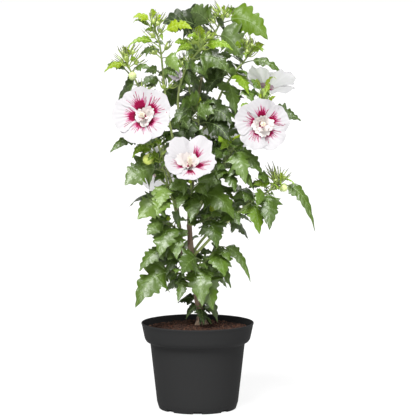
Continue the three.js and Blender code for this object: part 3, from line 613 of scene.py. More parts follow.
def grow_tuft(mass, seed):
    path, draw, start = growth(mass, seed)
    box = reach_of(mass, 8)
    for index in range(mass["tuft"]):
        leaf = {
            "root": path.at(1 - 0.04 * index),
            "heading": start + index * GOLDEN_TURN,
            "rise": 70 - 9 * index + 12 * draw(),
            "span": mix(16, 27, draw()) + 2.2 * index,
            **twist(draw, 1),
            "tint": "y" if index < 4 else "f",
        }
        place_leaf(mass["name"], leaf, TURNS, 0.95, box)


TWIG = {"tries": 7, "turn": 51, "leaves": 3, "fan": 68, "radii": (1.1, 0.7)}
SPRIG_RADII = (1.3, 0.8)


def grow_twigs(mass, seed):
    path, draw, start = growth(mass, seed)
    box = reach_of(mass)
    for index in range(mass["twigs"]):
        t = mix(0.12, 0.97, (index + draw()) / mass["twigs"])
        root = path.at(t)
        for attempt in range(TWIG["tries"]):
            heading = start + index * GOLDEN_TURN + TWIG["turn"] * attempt
            run = direction(heading, mix(5, 50, draw()))
            length = mix(7, 19, draw())
            line = Path([root, root + run * length * 0.5 + UP * 0.6, root + run * length])
            points = line.at(np.linspace(0.4, 1, 4))
            if is_free(points, GUARD["twig"], mass["name"]):
                break
        else:
            continue
        claim(mass["name"] + "_leaf", points, GUARD["twig"])
        grown = 0
        for order in range(TWIG["leaves"]):
            leaf = {
                "root": line.at(1 - 0.22 * order),
                "heading": heading + (order - 1) * TWIG["fan"] * (1 if index % 2 else -1),
                "rise": mix(*mass["rises"], t) + 24 * (draw() - 0.4),
                "span": mix(30, 50, draw()),
                "slim": mass["slim"],
                **twist(draw, 1),
                "tint": tint_at(mass, t),
            }
            grown += place_leaf(mass["name"], leaf, TURNS, 0.93, box)
        if grown:
            twigs.append((line, *TWIG["radii"]))


# Sprigs: limb, place, heading, rise, length, leaf span and the tints of its leaves.
SPRIGS = [
    ("trunk", 0.85, 316, -18, 9, 62, "m"),
    ("bough_mid_left", 0.5, 245, -25, 10, 70, "p"),
    ("trunk", 0.6, 282, -22, 13, 31, "kkkkkk"),
    ("trunk", 0.34, 300, -8, 12, 27, "kkkkk"),
    ("trunk", 0.6, 85, 10, 10, 38, "dkd"),
    ("bough_top_right", 0.97, 352, -8, 42, 40, "mdmdmf"),
    ("bough_top_right", 0.55, 350, 4, 36, 44, "mdmdmf"),
    ("bough_upper_right", 0.7, 95, 62, 40, 44, "mdmddm"),
    ("bough_top_right", 0.72, 322, -20, 30, 42, "dkdmdf"),
    ("foliage_upper_right", 1.0, 246, 66, 50, 40, "yygygyygyg"),
    ("bough_top_right", 0.3, 340, 30, 22, 40, "dmd"),
    ("bough_upper_right", 0.9, 120, 35, 30, 50, "ddmd"),
    ("bough_centre", 0.95, 345, 15, 26, 50, "kkdd"),
    ("bough_centre", 0.5, 215, 10, 24, 46, "kdkd"),
    ("bough_left", 0.45, 320, 20, 24, 46, "dmdm"),
    ("bough_left", 0.75, 60, 20, 22, 42, "dmdm"),
    ("bough_leader", 0.35, 250, 10, 28, 48, "kddk"),
    ("bough_leader", 0.7, 110, 15, 28, 50, "dmdm"),
    ("bough_top_left", 0.6, 230, 15, 24, 44, "dmfd"),
    ("bough_top_centre", 0.5, 255, 5, 24, 44, "kdmd"),
    ("bough_back", 0.6, 60, 15, 26, 48, "dmdm"),
    ("bough_back_right", 0.7, 330, 15, 26, 50, "dmdm"),
    ("bough_back_left", 0.7, 190, 15, 26, 50, "dmdm"),
    ("bough_second", 0.6, 175, 15, 20, 46, "dmd"),
]


def grow_sprig(seed, limb, t, heading, rise, length, span, tints):
    draw = seeded(seed)
    root = limbs[limb]["path"].at(t)
    run = direction(heading, rise)
    line = Path([root, root + run * length * 0.5 + UP * 1.5, root + run * length])
    claim(limb + "_leaf", line.at(np.linspace(0.3, 1, 5)), GUARD["twig"])
    for order, tint in enumerate(tints):
        leaf = {
            "root": line.at(1 - 0.75 * order / len(tints)),
            "heading": heading + (0 if order == 0 else (62 + 14 * order) * (1 if order % 2 else -1)),
            "rise": rise - 25 + 34 * (draw() - 0.5),
            "span": span * mix(0.85, 1.15, draw()),
            "slim": 0.58 if tint in "yg" else 1,
            **twist(draw, 0.8),
            "tint": tint,
        }
        place_leaf(limb, leaf, TURNS, 0.94)
    twigs.append((line, *SPRIG_RADII))


for index, sprig in enumerate(SPRIGS):
    grow_sprig(SEEDS["sprig"] + index, *sprig)
grow_all((grow_more_buds, 5), (grow_tuft, 3), (grow_twigs, 4))


# Meshes: points and faces heaped up by kind, then made into one piece

def add_object(name, data):
    piece = bpy.data.objects.new(name, data)
    bpy.context.scene.collection.objects.link(piece)
    return piece


class Heap:
    def __init__(self):
        self.points, self.faces, self.looks = [], [], []
        self.base, self.count = 0, 0

    def add(self, points, faces, look=0):
        points = np.asarray(points, float).reshape(-1, 3)
        self.points.append(points)
        self.base = self.count
        self.count += len(points)
        self.add_faces(faces, look)

    def add_faces(self, faces, look):
        """Faces between the points that were added last."""
        self.faces.append(np.asarray(faces, int) + self.base)
        self.looks.append(np.broadcast_to(np.asarray(look, int), (len(faces),)))


def make(name, heap, materials, nodes, smooth=True):
    points = np.vstack(heap.points) * MM
    mesh = bpy.data.meshes.new(name)
    mesh.vertices.add(len(points))
    mesh.vertices.foreach_set("co", points.astype(np.float32).ravel())
    sizes = np.concatenate([np.full(len(faces), faces.shape[1]) for faces in heap.faces])
    corners = np.concatenate([faces.ravel() for faces in heap.faces])
    mesh.loops.add(len(corners))
    mesh.loops.foreach_set("vertex_index", corners.astype(np.int32))
    mesh.polygons.add(len(sizes))
    starts = np.concatenate([[0], np.cumsum(sizes)[:-1]])
    mesh.polygons.foreach_set("loop_start", starts.astype(np.int32))
    mesh.polygons.foreach_set("material_index", np.concatenate(heap.looks).astype(np.int32))
    for material in materials:
        mesh.materials.append(material)
    mesh.update(calc_edges=True)
    mesh.validate()
    mesh.polygons.foreach_set("use_smooth", np.full(len(mesh.polygons), smooth))
    piece = add_object(name, mesh)
    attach(piece, "root")
    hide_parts(*nodes)
    return piece


def grid(rows, columns, wrap=False):
    across = columns if wrap else columns - 1
    i, j = np.meshgrid(np.arange(rows - 1), np.arange(across), indexing="ij")
    a, b = i * columns + j, i * columns + (j + 1) % columns
    return np.stack([a, b, b + columns, a + columns], axis=-1).reshape(-1, 4)


def cap(first, sides, centre, flip=False):
    j = np.arange(sides)
    a, b = first + j, first + (j + 1) % sides
    if flip:
        a, b = b, a
    return np.stack([a, b, np.full(sides, centre)], axis=-1)


def frames_along(centres):
    """Two directions across a line at each of its points, carried on without a twist."""
    along = unit(np.gradient(centres, axis=0))
    across = np.zeros_like(centres)
    last = np.array((1.0, 0.0, 0.0)) if abs(along[0, 0]) < 0.9 else np.array((0.0, 1.0, 0.0))
    for i, line in enumerate(along):
        last = unit(last - line * (last @ line))
        across[i] = last
    return across, np.cross(along, across)


def rod(heap, centres, radii, sides=6, look=0):
    """A closed round rod. Radii: one number, one for each centre, or one for each point."""
    centres = np.asarray(centres, float)
    count = len(centres)
    if np.ndim(radii) < 2:
        radii = np.broadcast_to(np.asarray(radii, float), (count,))[:, None]
    across, other = frames_along(centres)
    angle = round_turn(sides)
    ring = across[:, None] * np.cos(angle)[None, :, None] + other[:, None] * np.sin(angle)[None, :, None]
    points = (centres[:, None] + ring * radii[..., None]).reshape(-1, 3)
    heap.add(np.vstack([points, centres[:1], centres[-1:]]), grid(count, sides, wrap=True), look)
    first, last = count * sides, count * sides + 1
    ends = [cap(0, sides, first, flip=True), cap((count - 1) * sides, sides, last)]
    heap.add_faces(np.vstack(ends), np.ravel(look)[-1])


def bent_rod(heap, points, radii, sides=6, look=0):
    """A rod on a smooth line through a few points, with as many rings as radii."""
    rod(heap, Path(points).at(np.linspace(0, 1, len(radii))), radii, sides, look)


def face_middles(values):
    """Values at the middles of a grid's faces."""
    return (values[:-1, :-1] + values[1:, 1:]) / 2


def turned(heap, root, run, along, girth, look):
    """A body round a line, from its girth at each place along and each angle round."""
    rows, sides = girth.shape
    across, other = sides_of(run)
    theta = round_turn(sides)[None]
    centre = root + run * along[..., None]
    ring = across * (girth * np.cos(theta))[..., None] + other * (girth * np.sin(theta))[..., None]
    heap.add(centre + ring, grid(rows, sides, wrap=True), look)


# Materials

def set_inputs(node, **values):
    for name, value in values.items():
        node.inputs[name.replace("_", " ")].default_value = value


def wire(tree, start, outlet, end, inlet):
    tree.links.new(start.outputs[outlet], end.inputs[inlet])


def shade(name, colour, roughness, specular=0.5, bump=0.0, scale=900.0, spread=0.0, depth=0.0006):
    """A plain colour. One noise makes its bumps and spreads its roughness."""
    material = bpy.data.materials.new(name)
    material.use_nodes = True
    tree = material.node_tree
    surface = tree.nodes["Principled BSDF"]
    set_inputs(surface, Base_Color=(*colour, 1), Roughness=roughness, Specular_IOR_Level=specular)
    place = tree.nodes.new("ShaderNodeTexCoord")
    noise = tree.nodes.new("ShaderNodeTexNoise")
    set_inputs(noise, Scale=scale, Detail=3.0)
    wire(tree, place, "Object", noise, "Vector")
    if spread:
        rough = tree.nodes.new("ShaderNodeMapRange")
        set_inputs(rough, From_Min=0.35, From_Max=0.65, To_Min=roughness - spread, To_Max=roughness + spread)
        wire(tree, noise, "Fac", rough, "Value")
        wire(tree, rough, "Result", surface, "Roughness")
    if bump:
        height = tree.nodes.new("ShaderNodeBump")
        set_inputs(height, Strength=bump, Distance=depth)
        wire(tree, noise, "Fac", height, "Height")
        wire(tree, height, "Normal", surface, "Normal")
    return material


def mottle(material, colours, scale, detail=4.0, stretch=(1, 1, 1)):
    """Colours that change over the surface with a noise, from the first to the last."""
    tree = material.node_tree
    turn = tree.nodes.new("ShaderNodeMapping")
    set_inputs(turn, Scale=stretch)
    noise = tree.nodes.new("ShaderNodeTexNoise")
    set_inputs(noise, Scale=scale, Detail=detail)
    ramp = tree.nodes.new("ShaderNodeValToRGB")
    stops = ramp.color_ramp.elements
    for k, colour in enumerate(colours):
        place = mix(0.33, 0.67, k / (len(colours) - 1))
        stop = stops[k] if k < 2 else stops.new(place)
        stop.position = place
        stop.color = (*colour, 1)
    wire(tree, tree.nodes["Texture Coordinate"], "Object", turn, "Vector")
    wire(tree, turn, "Vector", noise, "Vector")
    wire(tree, noise, "Fac", ramp, "Fac")
    wire(tree, ramp, "Color", tree.nodes["Principled BSDF"], "Base Color")
    return material


# Blades: outline with lobes and rounded teeth, quilted between the veins, waved at the margin

# Outlines of one half, as place along the leaf and half width, both as shares of the span.
BROAD = np.array([
    (0.24, 0.012), (0.265, 0.085), (0.3, 0.18), (0.345, 0.265), (0.39, 0.325), (0.435, 0.355), (0.48, 0.352),
    (0.53, 0.328), (0.58, 0.3), (0.64, 0.274), (0.7, 0.246), (0.76, 0.21), (0.82, 0.164), (0.88, 0.112),
    (0.93, 0.066), (0.97, 0.03), (1, 0)])
NARROW = np.array([
    (0.24, 0.012), (0.29, 0.08), (0.34, 0.145), (0.4, 0.2), (0.46, 0.226), (0.52, 0.222), (0.6, 0.196),
    (0.68, 0.162), (0.76, 0.124), (0.84, 0.084), (0.91, 0.048), (0.96, 0.022), (1, 0)])
BLADE_FOOT, BLADE_END = 0.24, 0.985
COLUMNS = np.array((-1, -0.86, -0.66, -0.42, -0.2, 0, 0.2, 0.42, 0.66, 0.86, 1))
FEW_COLUMNS = COLUMNS[[0, 1, 2, 4, 5, 6, 8, 9, 10]]
# Veins of one side, from and to, as place along the midrib and distance from it.
VEINS = np.array([
    ((0.25, 0.0), (0.48, 0.31)), ((0.29, 0.055), (0.38, 0.25)), ((0.35, 0.14), (0.43, 0.28)),
    ((0.39, 0.19), (0.53, 0.24)), ((0.40, 0.0), (0.58, 0.20)), ((0.51, 0.0), (0.67, 0.185)),
    ((0.62, 0.0), (0.75, 0.145)), ((0.73, 0.0), (0.83, 0.095)), ((0.83, 0.0), (0.9, 0.048))])
MAIN_VEINS = (0, 4, 5, 6)
# Half widths of the veins in shares of the span, and the lift of their edges and of their middle
# in millimetres.
RIB = {"midrib": 0.0085, "lobe": 0.0068, "side": 0.0045, "edge_lift": 0.02, "lift": 0.26}
# The first tooth's place, the depth of the teeth, and how many there are.
TOOTH = {"first": 0.3, "depth": 0.25, "few": 4, "many": 6}
# Leaves shorter than this have fewer veins, a young outline, a coarser grid and fewer teeth.
SHORT = {"veins": 30, "outline": 34, "grid": 36, "teeth": 40}
ROWS = {"long": 36, "short": 22}
# The bay under a lobe and the lobe's shoulder: place along the leaf, width and depth.
BAY = (0.585, 0.038, 0.095)
SHOULDER = (0.49, 0.035, 0.035)


def hill(s, place, width):
    return np.exp(-((s - place) / width) ** 2)


def vein_distance(s, x):
    start, step = VEINS[:, 0], VEINS[:, 1] - VEINS[:, 0]
    at = np.stack([s, np.abs(x)], axis=-1)[..., None, :] - start
    t = np.clip((at * step).sum(-1) / (step ** 2).sum(-1), 0, 1)
    gap = np.linalg.norm(at - step * t[..., None], axis=-1).min(-1)
    return np.minimum(gap, np.abs(x))


def blade(leaf):
    """Gives the blade's half width and its surface, by place along the midrib and share across."""
    draw = seeded(SEEDS["blade"] + leaf["index"])
    span, slim = leaf["span"], leaf.get("slim", 1)
    young = leaf["tint"] in "yf" or span < SHORT["outline"]
    table = NARROW if young and draw() < 0.7 else BROAD
    lobe = slim * mix(0.15, 1.25, draw())
    sides = []
    for _ in range(2):
        size, shift = slim * mix(0.96, 1.12, draw()), draw()
        sides.append({"size": size, "shift": shift, "phase": draw() * PHASE, "rate": mix(1.5, 2.9, draw())})
    teeth = TOOTH["few"] if span < SHORT["teeth"] else TOOTH["many"]
    wave = mix(0.034, 0.075, draw())
    quilt = mix(0.034, 0.054, draw())
    curl = mix(-0.03, 0.1, draw())
    droop = leaf.get("droop", mix(0.0, 0.16, draw()))
    roll = mix(-0.5, 0.5, draw())
    bend = mix(-0.035, 0.035, draw())

    def half_of(s, side):
        width = np.interp(s, table[:, 0], table[:, 1]) * side["size"]
        within = (teeth * (s - TOOTH["first"]) / (1 - TOOTH["first"]) + side["shift"]) % 1
        notch = 1 - np.sin(math.pi * within ** 1.5) ** 0.9
        width = width * (1 - TOOTH["depth"] * notch * np.clip((s - 0.27) * 9, 0, 1))
        width = width - lobe * BAY[2] * hill(s, *BAY[:2]) * (width > 0.1)
        return np.maximum(width + lobe * SHOULDER[2] * hill(s, *SHOULDER[:2]), 0.0)

    def half(s, v):
        return np.where(v < 0, half_of(s, sides[0]), half_of(s, sides[1]))

    def surface(s, v, lift=0.0):
        width = half(s, v) * span
        centre, across, face = leaf_spine(leaf, s)
        out = np.abs(v)
        x = v * width / span
        # Quilted between the veins, and waved and crimped at the margin
        rise = quilt * (1 - hill(vein_distance(s, x), 0, 0.055)) * np.minimum(1, (1 - out) * 2 + 0.15)
        for side, on in zip(sides, (v < 0, v >= 0)):
            turn = 2 * math.pi * side["rate"] * s + side["phase"]
            edge = 0.013 * out ** 4 * np.sin(3.1 * turn)
            rise = rise + on * (wave * (np.abs(x) / 0.3) ** 1.6 * np.sin(turn) + edge)
        # Curled at the sides, folded at the midrib and rolled along, with a bent line and a drooping tip
        rise = rise - curl * (x / 0.3) ** 2 * 0.5 - BLADE["fold"] * np.abs(x) + roll * x * (s - 0.45)
        tip = np.maximum(0, (s - 0.62) / 0.38) ** 2
        shift = bend * np.sin(math.pi * s)
        points = centre + across * ((x + shift) * span)[..., None] + face * (rise * span + lift)[..., None]
        return points - UP * (droop * tip * span)[..., None]

    return half, surface


def add_blade(heap, leaf, surface):
    short = leaf["span"] < SHORT["grid"]
    foot = np.linspace(BLADE_FOOT, TOOTH["first"], 3)[:-1]
    teeth = np.linspace(TOOTH["first"], BLADE_END, ROWS["short" if short else "long"])
    rows, places = np.concatenate([foot, teeth]), FEW_COLUMNS if short else COLUMNS
    s, v = np.meshgrid(rows, places, indexing="ij")
    points = surface(s, v).reshape(-1, 3)
    tip = surface(np.array([1.0]), np.array([0.0]))
    n, m = len(rows), len(places)
    look = int(3 * seeded(SEEDS["leaf_look"] + leaf["index"])())
    heap.add(np.vstack([points, tip]), grid(n, m)[:, ::-1], look)
    last = (n - 1) * m + np.arange(m - 1)
    heap.add_faces(np.stack([last + 1, last, np.full(m - 1, n * m)], axis=-1), look)


def vein_lines(leaf):
    """From, to and half width of the midrib and of each side's veins. Short leaves have fewer."""
    yield np.array((0.245, 0.0)), np.array((0.97, 0.0)), RIB["midrib"]
    for side in (-1, 1):
        for k, (start, end) in enumerate(VEINS):
            if leaf["span"] >= SHORT["veins"] or k in MAIN_VEINS:
                yield start * (1, side), end * (1, side), RIB["lobe"] if k == 0 else RIB["side"]


def add_veins(heap, leaf, half, surface):
    for start, end, width in vein_lines(leaf):
        line = start + (end - start) * np.linspace(0, 1, 12 if width == RIB["midrib"] else 6)[:, None]
        normal = unit(np.array((-(end - start)[1], (end - start)[0])))
        taper = width * np.linspace(1, 0.35, len(line))
        spread = np.array((-1.0, 0.0, 1.0))
        s = line[:, None, 0] + normal[0] * taper[:, None] * spread
        x = line[:, None, 1] + normal[1] * taper[:, None] * spread
        v = np.clip(x / np.maximum(half(s, x), 1e-3), -0.94, 0.94)
        lifts = np.broadcast_to(np.array((RIB["edge_lift"], RIB["lift"], RIB["edge_lift"])), s.shape)
        heap.add(surface(s, v, lifts), grid(len(line), 3)[:, ::-1])


def add_stalk(heap, leaf):
    centres = leaf_spine(leaf, np.linspace(0, 0.27, 6))[0]
    thick = mix(0.55, 1.0, min(1, leaf["span"] / 70))
    rod(heap, centres, np.linspace(1.25, 0.8, 6) * thick, sides=5)


blades = {tint: Heap() for tint in LEAF_TINTS}
ribs = {"old": Heap(), "young": Heap()}
stalks = {"old": Heap(), "young": Heap()}
for leaf in leaves:
    age = "young" if leaf["tint"] in "yf" else "old"
    half, surface = blade(leaf)
    add_blade(blades[leaf["tint"]], leaf, surface)
    add_veins(ribs[age], leaf, half, surface)
    add_stalk(stalks[age], leaf)

LEAF_SURFACE = {"roughness": 0.42, "bump": 0.45, "scale": 90, "spread": 0.05, "depth": 0.003}
LEAF_GLOSS = {"k": 0.35, "f": 0.3, "g": 0.3, "y": 0.25}
LEAF_LIGHTS = {"deep": (0.72, 0.75, 0.75), "even": (1.0, 1.0, 1.0), "light": (1.2, 1.2, 1.2)}
foliage_nodes = [mass["name"] for mass in MASSES]
for tint, colour in LEAF_TINTS.items():
    looks = []
    gloss = LEAF_GLOSS.get(tint, 0.75)
    for name, light in LEAF_LIGHTS.items():
        shaded = tuple(share * part for share, part in zip(light, colour))
        looks.append(shade("leaf_" + tint + "_" + name, shaded, specular=gloss, **LEAF_SURFACE))
    make("leaves_" + tint, blades[tint], looks, foliage_nodes)
for age, colour in (("old", (0.19, 0.28, 0.09)), ("young", (0.40, 0.54, 0.10))):
    make("veins_" + age, ribs[age], [shade("vein_" + age, colour, 0.5, bump=0.1)], foliage_nodes)
for age, colour in (("old", (0.16, 0.20, 0.075)), ("young", (0.30, 0.40, 0.10))):
    make("stalks_" + age, stalks[age], [shade("stalk_" + age, colour, 0.5, bump=0.2)], foliage_nodes)


# Trunk, boughs and shoots, with bark relief

# Swollen rings on the limbs: distance apart, place within it, half width, and height as a share
# of the radius.
KNOT = {"apart": 23, "place": 11, "half": 1.6, "height": 0.09}


def along_of(centres):
    return np.concatenate([[0], np.cumsum(np.linalg.norm(np.diff(centres, axis=0), axis=1))])


def relief(centres, angle, seed, waves=9):
    draw = seeded(seed)
    along = along_of(centres)[:, None]
    total = np.zeros((len(centres), len(angle)))
    for _ in range(waves):
        around, rate, shift = 1 + int(draw() * 5), mix(0.05, 0.5, draw()), draw() * PHASE
        total += np.sin(around * angle[None] + rate * along + shift) * mix(0.4, 1, draw())
    return total / waves


def add_limb_mesh(heap, name, sides, step, rough, look=0):
    limb = limbs[name]
    count = max(4, int(limb["path"].length() / step))
    places = np.linspace(0, 1, count + 1)
    centres = limb["path"].at(places)
    angle = round_turn(sides)
    if name == "trunk":
        radii = trunk_radius(places[:, None], angle[None])
    else:
        radii = np.repeat(mix(limb["root"], limb["tip"], places)[:, None], sides, axis=1)
    bumps = relief(centres, angle, SEEDS["bark"] + len(name) * 7 + count)
    knots = KNOT["height"] * hill(along_of(centres) % KNOT["apart"], KNOT["place"], KNOT["half"])[:, None]
    rod(heap, centres, radii * (1 + rough * bumps + knots), sides=sides, look=look)


# Brown bark on the oldest limbs, olive on the next and green on the others. The green bark is made
# paler than its own green as painted light, against the shade in the crown.
BROWN, OLIVE, GREEN_BARK = range(3)
BARK_OF = {
    "trunk": BROWN, "bough_main": BROWN, "bough_second": BROWN,
    "bough_centre": OLIVE, "bough_mid_left": OLIVE, "bough_leader": OLIVE,
}
limb_nodes = ["trunk", *[row[0] for row in BOUGHS]]
bloom_nodes = [bloom["name"] for bloom in BLOOMS]
bark = Heap()
for name in limb_nodes:
    kind = BARK_OF.get(name, GREEN_BARK)
    add_limb_mesh(bark, name, 18 if kind == BROWN else 12, 2.0, (0.16, 0.08, 0.04)[kind], kind)
brown = mottle(shade("bark_brown", (0.2, 0.14, 0.1), 0.8, 0.3, bump=0.6, scale=700),
               [(0.13, 0.085, 0.06), (0.27, 0.19, 0.135), (0.36, 0.27, 0.2)], 160, 6, (1, 1, 0.35))
olive = mottle(shade("bark_olive", (0.2, 0.2, 0.1), 0.65, 0.4, bump=0.35, scale=700),
               [(0.17, 0.15, 0.075), (0.25, 0.24, 0.12), (0.33, 0.29, 0.18)], 140, 5, (1, 1, 0.3))
# Green bark: its own green, made paler as painted light for the shade that the shoots lie in.
green = mottle(shade("bark_green_painted_light", (0.2, 0.28, 0.08), 0.55, 0.45, bump=0.25, scale=700),
               [(0.24, 0.29, 0.09), (0.34, 0.41, 0.13), (0.42, 0.48, 0.19)], 110, 4, (1, 1, 0.3))
make("bark", bark, [brown, olive, green], limb_nodes)

shoots = Heap()
for name in foliage_nodes:
    add_limb_mesh(shoots, name, 8, 3.0, 0.05)
for name in bloom_nodes:
    add_limb_mesh(shoots, name, 8, 3.0, 0.03)
for line, root, tip in twigs:
    places = np.linspace(0, 1, 6)
    rod(shoots, line.at(places), mix(root, tip, places))
shoot_look = shade("shoot", (0.23, 0.30, 0.085), 0.55, bump=0.2)
make("shoots", shoots, [shoot_look], foliage_nodes + bloom_nodes)


# Blooms: five petals with a crimson heart, a ruff of petaloids, the column and the calyx

WHITE, BLUSH, PINK, ROSE, CRIMSON, WINE, BACK_PAINTED_LIGHT, CREAM_PAINTED_LIGHT = range(8)
# Name, colour, roughness and gloss of each of them, in this order. The fronts' white is dimmed
# against the strong lamps, and the backs' white is far paler as painted light, for backs in shade.
PETAL_LOOKS = [
    ("petal_white", (0.52, 0.507, 0.52), 0.62, 0.2),
    ("petal_blush", (0.52, 0.36, 0.44), 0.62, 0.2),
    ("petal_pink", (0.50, 0.15, 0.29), 0.62, 0.2),
    ("petal_rose", (0.33, 0.008, 0.085), 0.62, 0.15),
    ("petal_crimson", (0.22, 0.001, 0.036), 0.6, 0.12),
    ("petal_wine", (0.12, 0.001, 0.02), 0.6, 0.12),
    # The back's white is painted light: far paler than the front's, for the shade that the backs lie in.
    ("petal_back_painted_light", (0.93, 0.92, 0.945), 0.62, 0.2),
    # The ruff's cream is its own colour made paler as painted light, against the shade among its petaloids.
    ("ruff_cream_painted_light", (0.70, 0.65, 0.63), 0.62, 0.2),
]
STREAKS = 15
# Rows, columns and lift of a petal's front and of its back.
PETAL_FACES = ((54, 51, 0.0), (26, 25, -0.5))


def heart_tint(share, off, streaks, reach, half_angle, wine):
    """Tint of a place on a petal, from its share of the radius and its angle off the middle."""
    # The heart's wavy edge with a narrow pink border
    inside = np.clip(1 - np.abs(off / half_angle) ** 3, 0, 1)
    edge = reach * inside ** 0.45 * (0.93 + 0.05 * np.sin(off * 0.9) + 0.03 * np.sin(off * 2.3 + reach * 40))
    depth = share - edge
    tint = np.full(share.shape, WHITE)
    tint[depth < 0.05] = BLUSH
    tint[depth < 0.022] = PINK
    # Rays that run out of it and thin towards their ends
    for place, length, width in streaks:
        bar = width * np.clip(1 - (share - 0.25) / (length - 0.25), 0.08, 1)
        near = np.abs(off - place * (0.76 + 0.44 * share / length))
        along = share < length
        for look, wide in ((BLUSH, 1.9), (PINK, 1.3), (ROSE, 0.95)):
            tint[along & (near < bar * wide) & (tint < look)] = look
        tint[along & (near < bar * 0.7) & (share < length * 0.9)] = CRIMSON
    # The heart itself, wine red at the foot
    tint[depth < 0.0] = ROSE
    tint[depth < -0.02] = CRIMSON
    tint[(share < wine + 0.03 * np.sin(off)) & (depth < -0.04)] = WINE
    return tint


def petal_surface(bloom, k, draw, waves):
    """Surface of one petal by u, from its foot to its rim, and v, from side to side."""
    ragged = bloom["ragged"]
    middle = math.radians(bloom["turn"] + bloom["petal_turn"] + 27 + 72 * k)
    phase = [draw() * PHASE for _ in range(8)]
    back, ripple = mix(0.1, 0.6, draw()), mix(0.4, 0.9, draw())

    def surface(u, v, lift=0.0):
        half = np.radians(mix(26, mix(45, 42, ragged), np.clip(u / 0.75, 0, 1) ** 0.8))
        # Outline: rounded, torn where the petal is ragged, and finely crimped
        rounded = 1 - mix(0.2, 0.4, ragged) * np.abs(v) ** mix(3, 2, ragged)
        rounded = rounded - 0.02 * np.sin(2.3 * v + phase[0])
        torn = ragged * u ** 4 * (0.05 * np.sin(9 * v + phase[7]) + 0.03 * np.sin(17 * v + phase[4]))
        crimped = (0.014 * np.sin(8 * v + phase[1]) + 0.009 * np.sin(15 * v + phase[2])) * u ** 6
        share = u * mix(1, bloom["reach"][k] * rounded + torn + crimped, u ** 1.5)
        angle = middle + v * half + 0.03 * np.sin(3 * u + phase[3])
        # Height: the cup, one edge over its neighbour, then ragged folds and waves of the whole bloom
        height = bloom["cup"] * share ** 0.8 + 1.1 * v * u + lift
        folds = 2.4 * np.sin(7 * v + phase[5]) + 1.2 * np.sin(13 * v + 3 * u + phase[6])
        height = height + ragged * u ** 1.3 * folds
        height = height + waves[0] * u ** 3 * np.sin(5 * angle + waves[2])
        height = height + waves[1] * u ** 3 * np.sin(3 * angle + waves[3])
        # Ripples near the rim, the rim rolled back, fine veins and the midrib
        height = height + ripple * u ** 5 * np.sin(6 * v + phase[4])
        height = height + 0.7 * u ** 8 * np.sin(12 * v + phase[5])
        height = height - 55 * back * np.clip(u - 0.84, 0, 1) ** 2 * (1 + 0.6 * np.sin(3 * v + phase[6]))
        height = height + 0.34 * u * np.cos(26 * v + 2 * np.sin(5 * u)) * (1 - u ** 6)
        height = height + 1.5 * hill(v, 0, 0.16) * u * (1 - u)
        return bloom["radius"] * share, share, angle, np.degrees(v * half), height

    return surface


def streaks_of(bloom, k, draw):
    """Place in degrees, length and width of the crimson rays of one petal."""
    streaks = []
    for i in range(STREAKS):
        place = mix(-0.95, 0.95, (i + 0.8 * draw()) / STREAKS) * bloom["heart_half"]
        length = bloom["hearts"][k] + mix(0.05, 0.26, draw())
        streaks.append((place, length, mix(1.2, 2.3, draw())))
    return streaks


def add_petal(heap, bloom, at, k, draw, waves):
    surface = petal_surface(bloom, k, draw, waves)
    for rows, columns, lift in PETAL_FACES:
        along = np.linspace(0, 1, rows) ** 0.92 * 0.955 + 0.045
        u, v = np.meshgrid(along, np.linspace(-1, 1, columns), indexing="ij")
        radius, share, angle, off, height = surface(u, v, lift)
        share, off = face_middles(share), face_middles(off)
        faces = grid(rows, columns)
        if lift:
            # The back is painted light: a far paler white than the front, for the shade that the backs lie
            # in.
            tint = np.where(share < 0.3, BLUSH, BACK_PAINTED_LIGHT)
            faces = faces[:, ::-1]
        else:
            streaks = streaks_of(bloom, k, draw)
            tint = heart_tint(share, off, streaks, bloom["hearts"][k], bloom["heart_half"], bloom["wine"])
        heap.add(at(radius, angle, height), faces, tint.ravel())


def add_petaloid(heap, at, angle, reach, lean, wide, draw, look, slope=0.0):
    """One crumpled petaloid. Look gives a face's tint from its shares along and across."""
    u, v = np.meshgrid(np.linspace(0, 1, 12), np.linspace(-1, 1, 11), indexing="ij")
    bulge = np.sin(u * math.pi * 0.62) ** 0.8
    side = v * reach * wide * (0.25 + 0.75 * bulge) * (1 - 0.35 * u ** 6)
    phase = [draw() * PHASE for _ in range(3)]
    crumple = 1.3 * u * np.sin(3.4 * v + 2 * u + phase[0]) + 0.5 * u * np.sin(7 * v - 5 * u + phase[1])
    along = reach * u * (1 - 0.1 * v ** 2 + 0.06 * np.sin(7 * v + phase[2]))
    rise = math.radians(lean)
    out = 2.5 + along * math.cos(rise) - crumple * math.sin(rise)
    height = 1.0 + slope * out + along * math.sin(rise) + crumple * math.cos(rise)
    height = height - 3.5 * u ** 2 * math.cos(rise) * draw()
    points = at(np.hypot(out, side), angle + np.arctan2(side, out), height)
    heap.add(points, grid(12, 11), look(face_middles(u), face_middles(v)))


def ruff_tint(draw):
    """A cream petaloid with a crimson foot, and on some a rose spot. Its cream is made paler than the petals'
    white as painted light, against the shade among the crumpled petaloids.
    """
    spotted = draw() < 0.45
    spot_u, spot_v = mix(0.3, 0.6, draw()), mix(-0.6, 0.6, draw())

    def look(u, v):
        tint = np.full(u.shape, CREAM_PAINTED_LIGHT)
        tint[u < 0.24] = PINK
        tint[u < 0.17] = CRIMSON
        spot = (u - spot_u) ** 2 * 9 + (v - spot_v) ** 2
        if spotted:
            tint[spot < 0.05] = PINK
            tint[spot < 0.022] = ROSE
        return tint.ravel()

    return look


